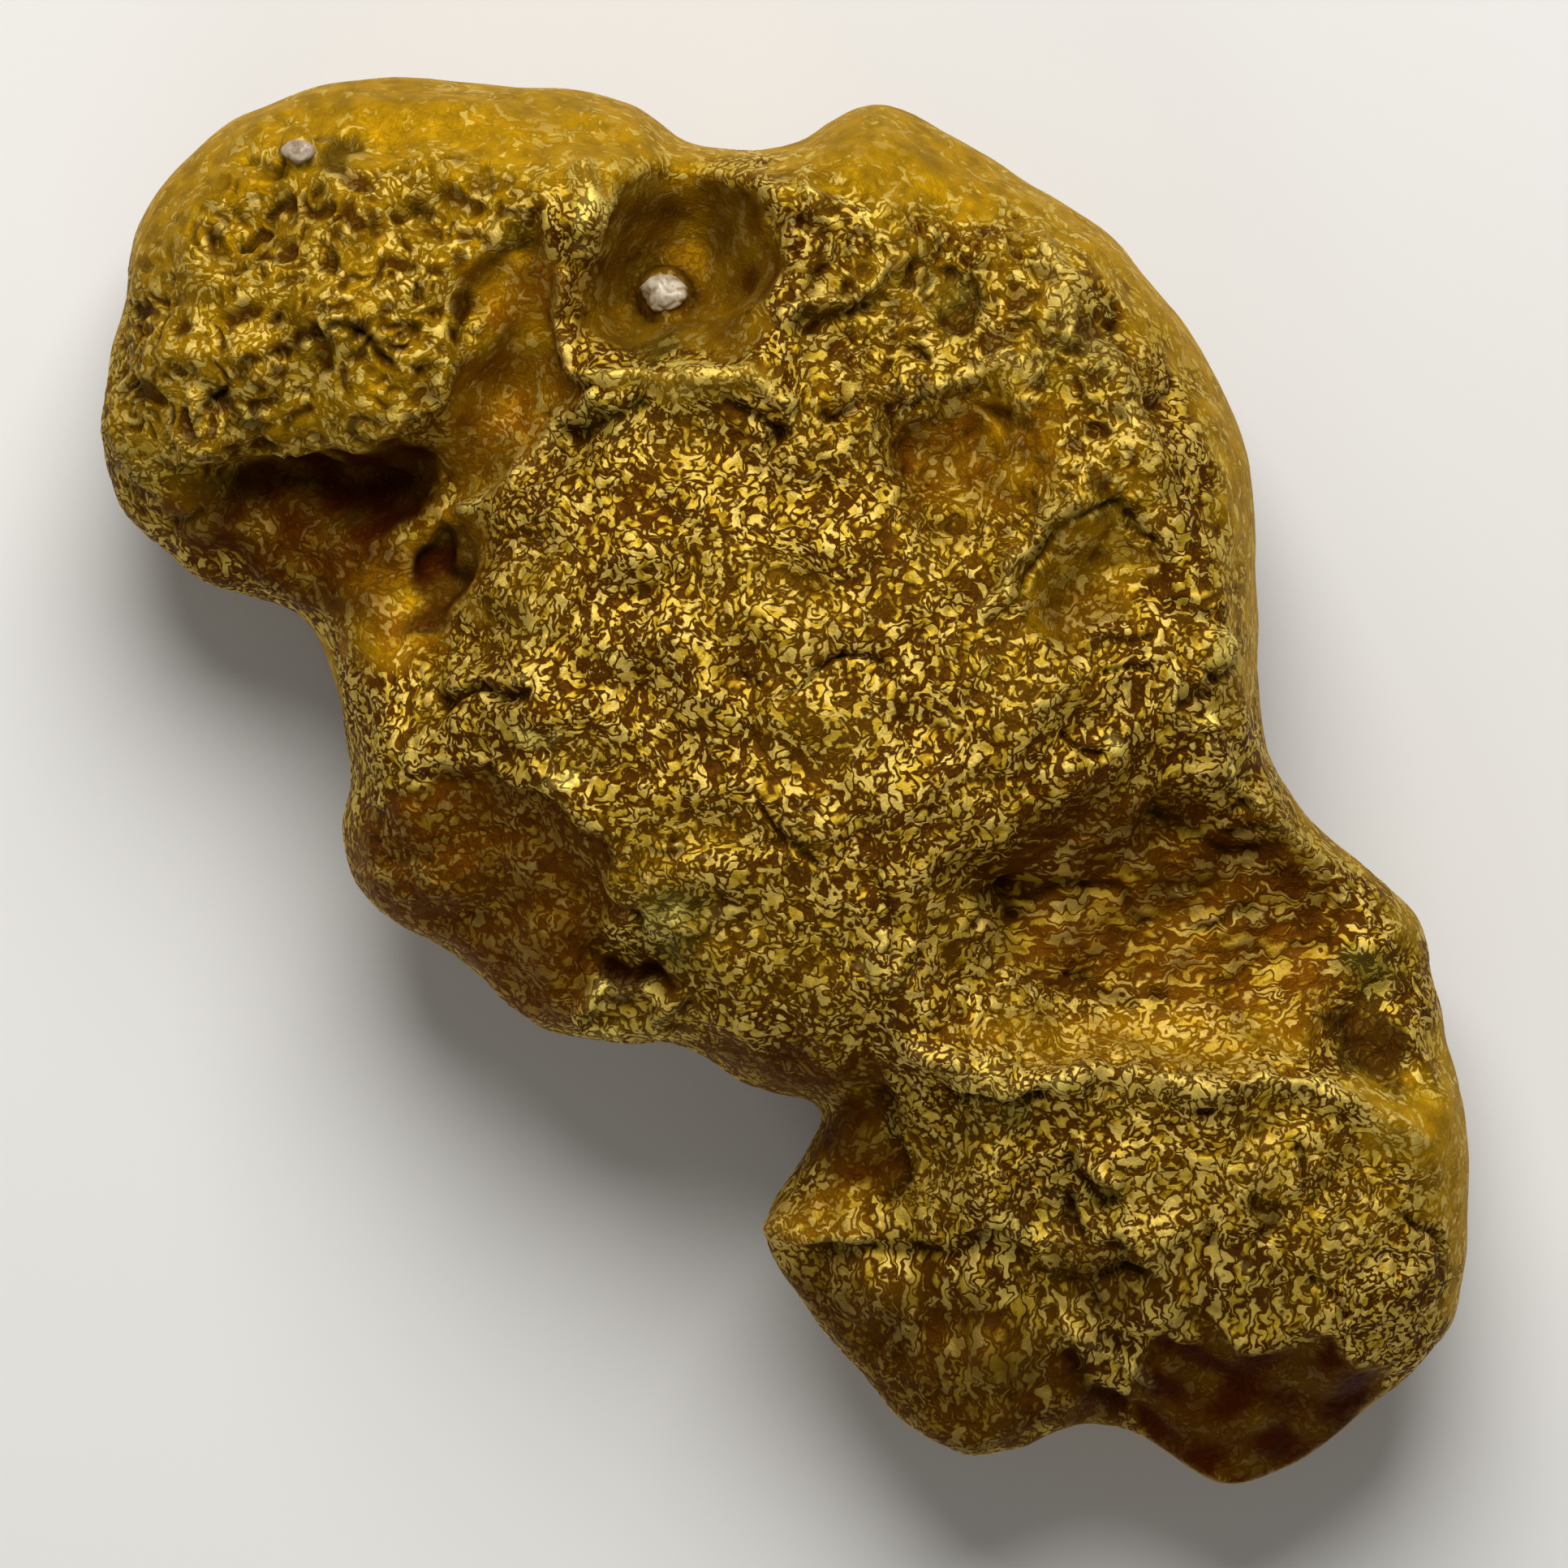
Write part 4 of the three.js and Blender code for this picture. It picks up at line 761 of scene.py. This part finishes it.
class NUGGET_OT_gold(bpy.types.Operator):
    """Builds the skin of native gold"""

    bl_idname = "nugget.gold"
    bl_label = "Gold"

    def execute(self, context):
        settings = context.scene.nugget
        piece = fine_copy("gold_nugget", "native_gold_skin", 1)
        bm = bmesh.new()
        bm.from_mesh(piece.data)
        divide(bm, lambda middles: middles[:, 2] > FINE_ABOVE)
        divide(bm, lambda middles: (middles[:, 2] > FINEST_ABOVE) & (smoothness(middles) < WORN_SMOOTH))
        bmesh.ops.triangulate(bm, faces=[f for f in bm.faces if len(f.verts) > 4])
        bm.to_mesh(piece.data)
        bm.free()
        shape_skin(piece.data, settings)
        triangles = sum(len(face.vertices) - 2 for face in piece.data.polygons)
        thinning = piece.modifiers.new("thinning", "DECIMATE")
        thinning.ratio = MOST_TRIANGLES / triangles
        piece.data.shade_smooth()
        piece.data.materials.clear()
        piece.data.materials.append(native_gold(settings))
        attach(piece, "root")
        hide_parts("gold_nugget")
        return {"FINISHED"}


class NUGGET_OT_quartz(bpy.types.Operator):
    """Builds the two quartz grains"""

    bl_idname = "nugget.quartz"
    bl_label = "Quartz grains"

    def execute(self, context):
        quartz = milky_quartz(context.scene.nugget)
        for seed, (size, stained) in enumerate(GRAINS):
            piece = fine_copy("quartz_grain_" + size, "milky_quartz_" + size, 3)
            mesh = piece.data
            p = points_of(mesh) / MM
            low, high = p.min(axis=0), p.max(axis=0)
            middle = (low + high) / 2
            out = p - middle
            out /= np.linalg.norm(out, axis=1)[:, None]

            # Uneven all over, with grooves between chipped faces that are about half as wide as the grain.
            first, second = cells(out, 0.9, 7.0 + seed)
            chips = 0.05 * ripple(p, 0.3, 70 + seed) - 0.04 * (1 - step(0, 0.3, second - first))
            p = np.clip(p + out * (chips * (high - low).min())[:, None], low, high)
            mesh.vertices.foreach_set("co", (p * MM).astype(np.float32).ravel())
            keep(mesh, "stained", np.full(len(p), stained))
            mesh.update()
            mesh.shade_smooth()
            mesh.materials.clear()
            mesh.materials.append(quartz)
            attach(piece, "root")
            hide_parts("quartz_grain_" + size)
        return {"FINISHED"}


class NUGGET_OT_stage(bpy.types.Operator):
    """Sets out the floor, the lights and the camera"""

    bl_idname = "nugget.stage"
    bl_label = "Stage"

    def execute(self, context):
        settings = context.scene.nugget_stage
        mesh = bpy.data.meshes.new("floor")
        mesh.from_pydata([(x, y, 0) for x, y in ((-1, -1), (1, -1), (1, 1), (-1, 1))], [], [(0, 1, 2, 3)])
        floor = bpy.data.objects.new("floor", mesh)
        context.collection.objects.link(floor)
        # Painted board, matt, is an even pale ground that takes a soft shadow.
        made, tree = empty_material("matt_board")
        board = node(tree, "BsdfPrincipled", {"Base Color": settings.floor, "Roughness": 0.8})
        node(tree, "OutputMaterial", {"Surface": board.outputs[0]})
        mesh.materials.append(made)

        camera = bpy.data.objects.new("camera", bpy.data.cameras.new("camera"))
        context.collection.objects.link(camera)
        camera.data.lens = CAMERA_LENS
        distance = CAMERA_WIDTH * CAMERA_LENS / camera.data.sensor_width
        straight_up = Vector((0, 0, 1))
        right = CAMERA_UP.cross(straight_up)
        turned = Matrix((right, CAMERA_UP, straight_up)).transposed().to_4x4()
        camera.matrix_world = Matrix.Translation(CAMERA_TARGET + straight_up * distance) @ turned
        camera.data.clip_start = distance * 0.01
        camera.data.clip_end = 100
        context.scene.camera = camera

        # A strong wide light above the far side and a weak one across from it both give soft shadows.
        for (name, tilt, turn, width), power in zip(LIGHTS, (settings.key_power, settings.fill_power)):
            light = bpy.data.lights.new(name, "AREA")
            light.shape = "DISK"
            light.size = width * MM
            light.energy = power
            lamp = bpy.data.objects.new(name, light)
            context.collection.objects.link(lamp)
            level = Matrix.Rotation(math.radians(turn), 3, "Z") @ CAMERA_UP
            way = level * math.sin(math.radians(tilt)) + straight_up * math.cos(math.radians(tilt))
            way.normalize()
            lamp.location = CAMERA_TARGET + way * LIGHT_DISTANCE
            lamp.rotation_euler = way.to_track_quat("Z", "Y").to_euler()

        world = bpy.data.worlds.new("room")
        world.use_nodes = True
        background = world.node_tree.nodes["Background"]
        background.inputs["Color"].default_value = (1, 1, 1, 1)
        background.inputs["Strength"].default_value = settings.sky
        context.scene.world = world
        context.scene.view_settings.view_transform = "Standard"
        return {"FINISHED"}


class NUGGET_PT_parts(bpy.types.Panel):
    """Lists the pieces and their sizes and colours"""

    bl_label = "Gold nugget"
    bl_space_type = "VIEW_3D"
    bl_region_type = "UI"
    bl_category = "Nugget"

    def draw(self, context):
        for operator in OPERATORS:
            self.layout.operator(operator.bl_idname)
        for group in (context.scene.nugget, context.scene.nugget_stage):
            for name in group.__annotations__:
                self.layout.prop(group, name)


OPERATORS = (NUGGET_OT_gold, NUGGET_OT_quartz, NUGGET_OT_stage)
CLASSES = (NuggetSettings, StageSettings, *OPERATORS, NUGGET_PT_parts)


def register():
    """Adds the settings, the operators and the panel."""
    for made in CLASSES:
        bpy.utils.register_class(made)
    bpy.types.Scene.nugget = bpy.props.PointerProperty(type=NuggetSettings)
    bpy.types.Scene.nugget_stage = bpy.props.PointerProperty(type=StageSettings)


def unregister():
    """Takes them away again."""
    del bpy.types.Scene.nugget_stage
    del bpy.types.Scene.nugget
    for made in reversed(CLASSES):
        bpy.utils.unregister_class(made)


def main():
    """Builds every piece and the stage."""
    register()
    bpy.ops.nugget.gold()
    bpy.ops.nugget.quartz()
    bpy.ops.nugget.stage()


if __name__ == "__main__":
    main()
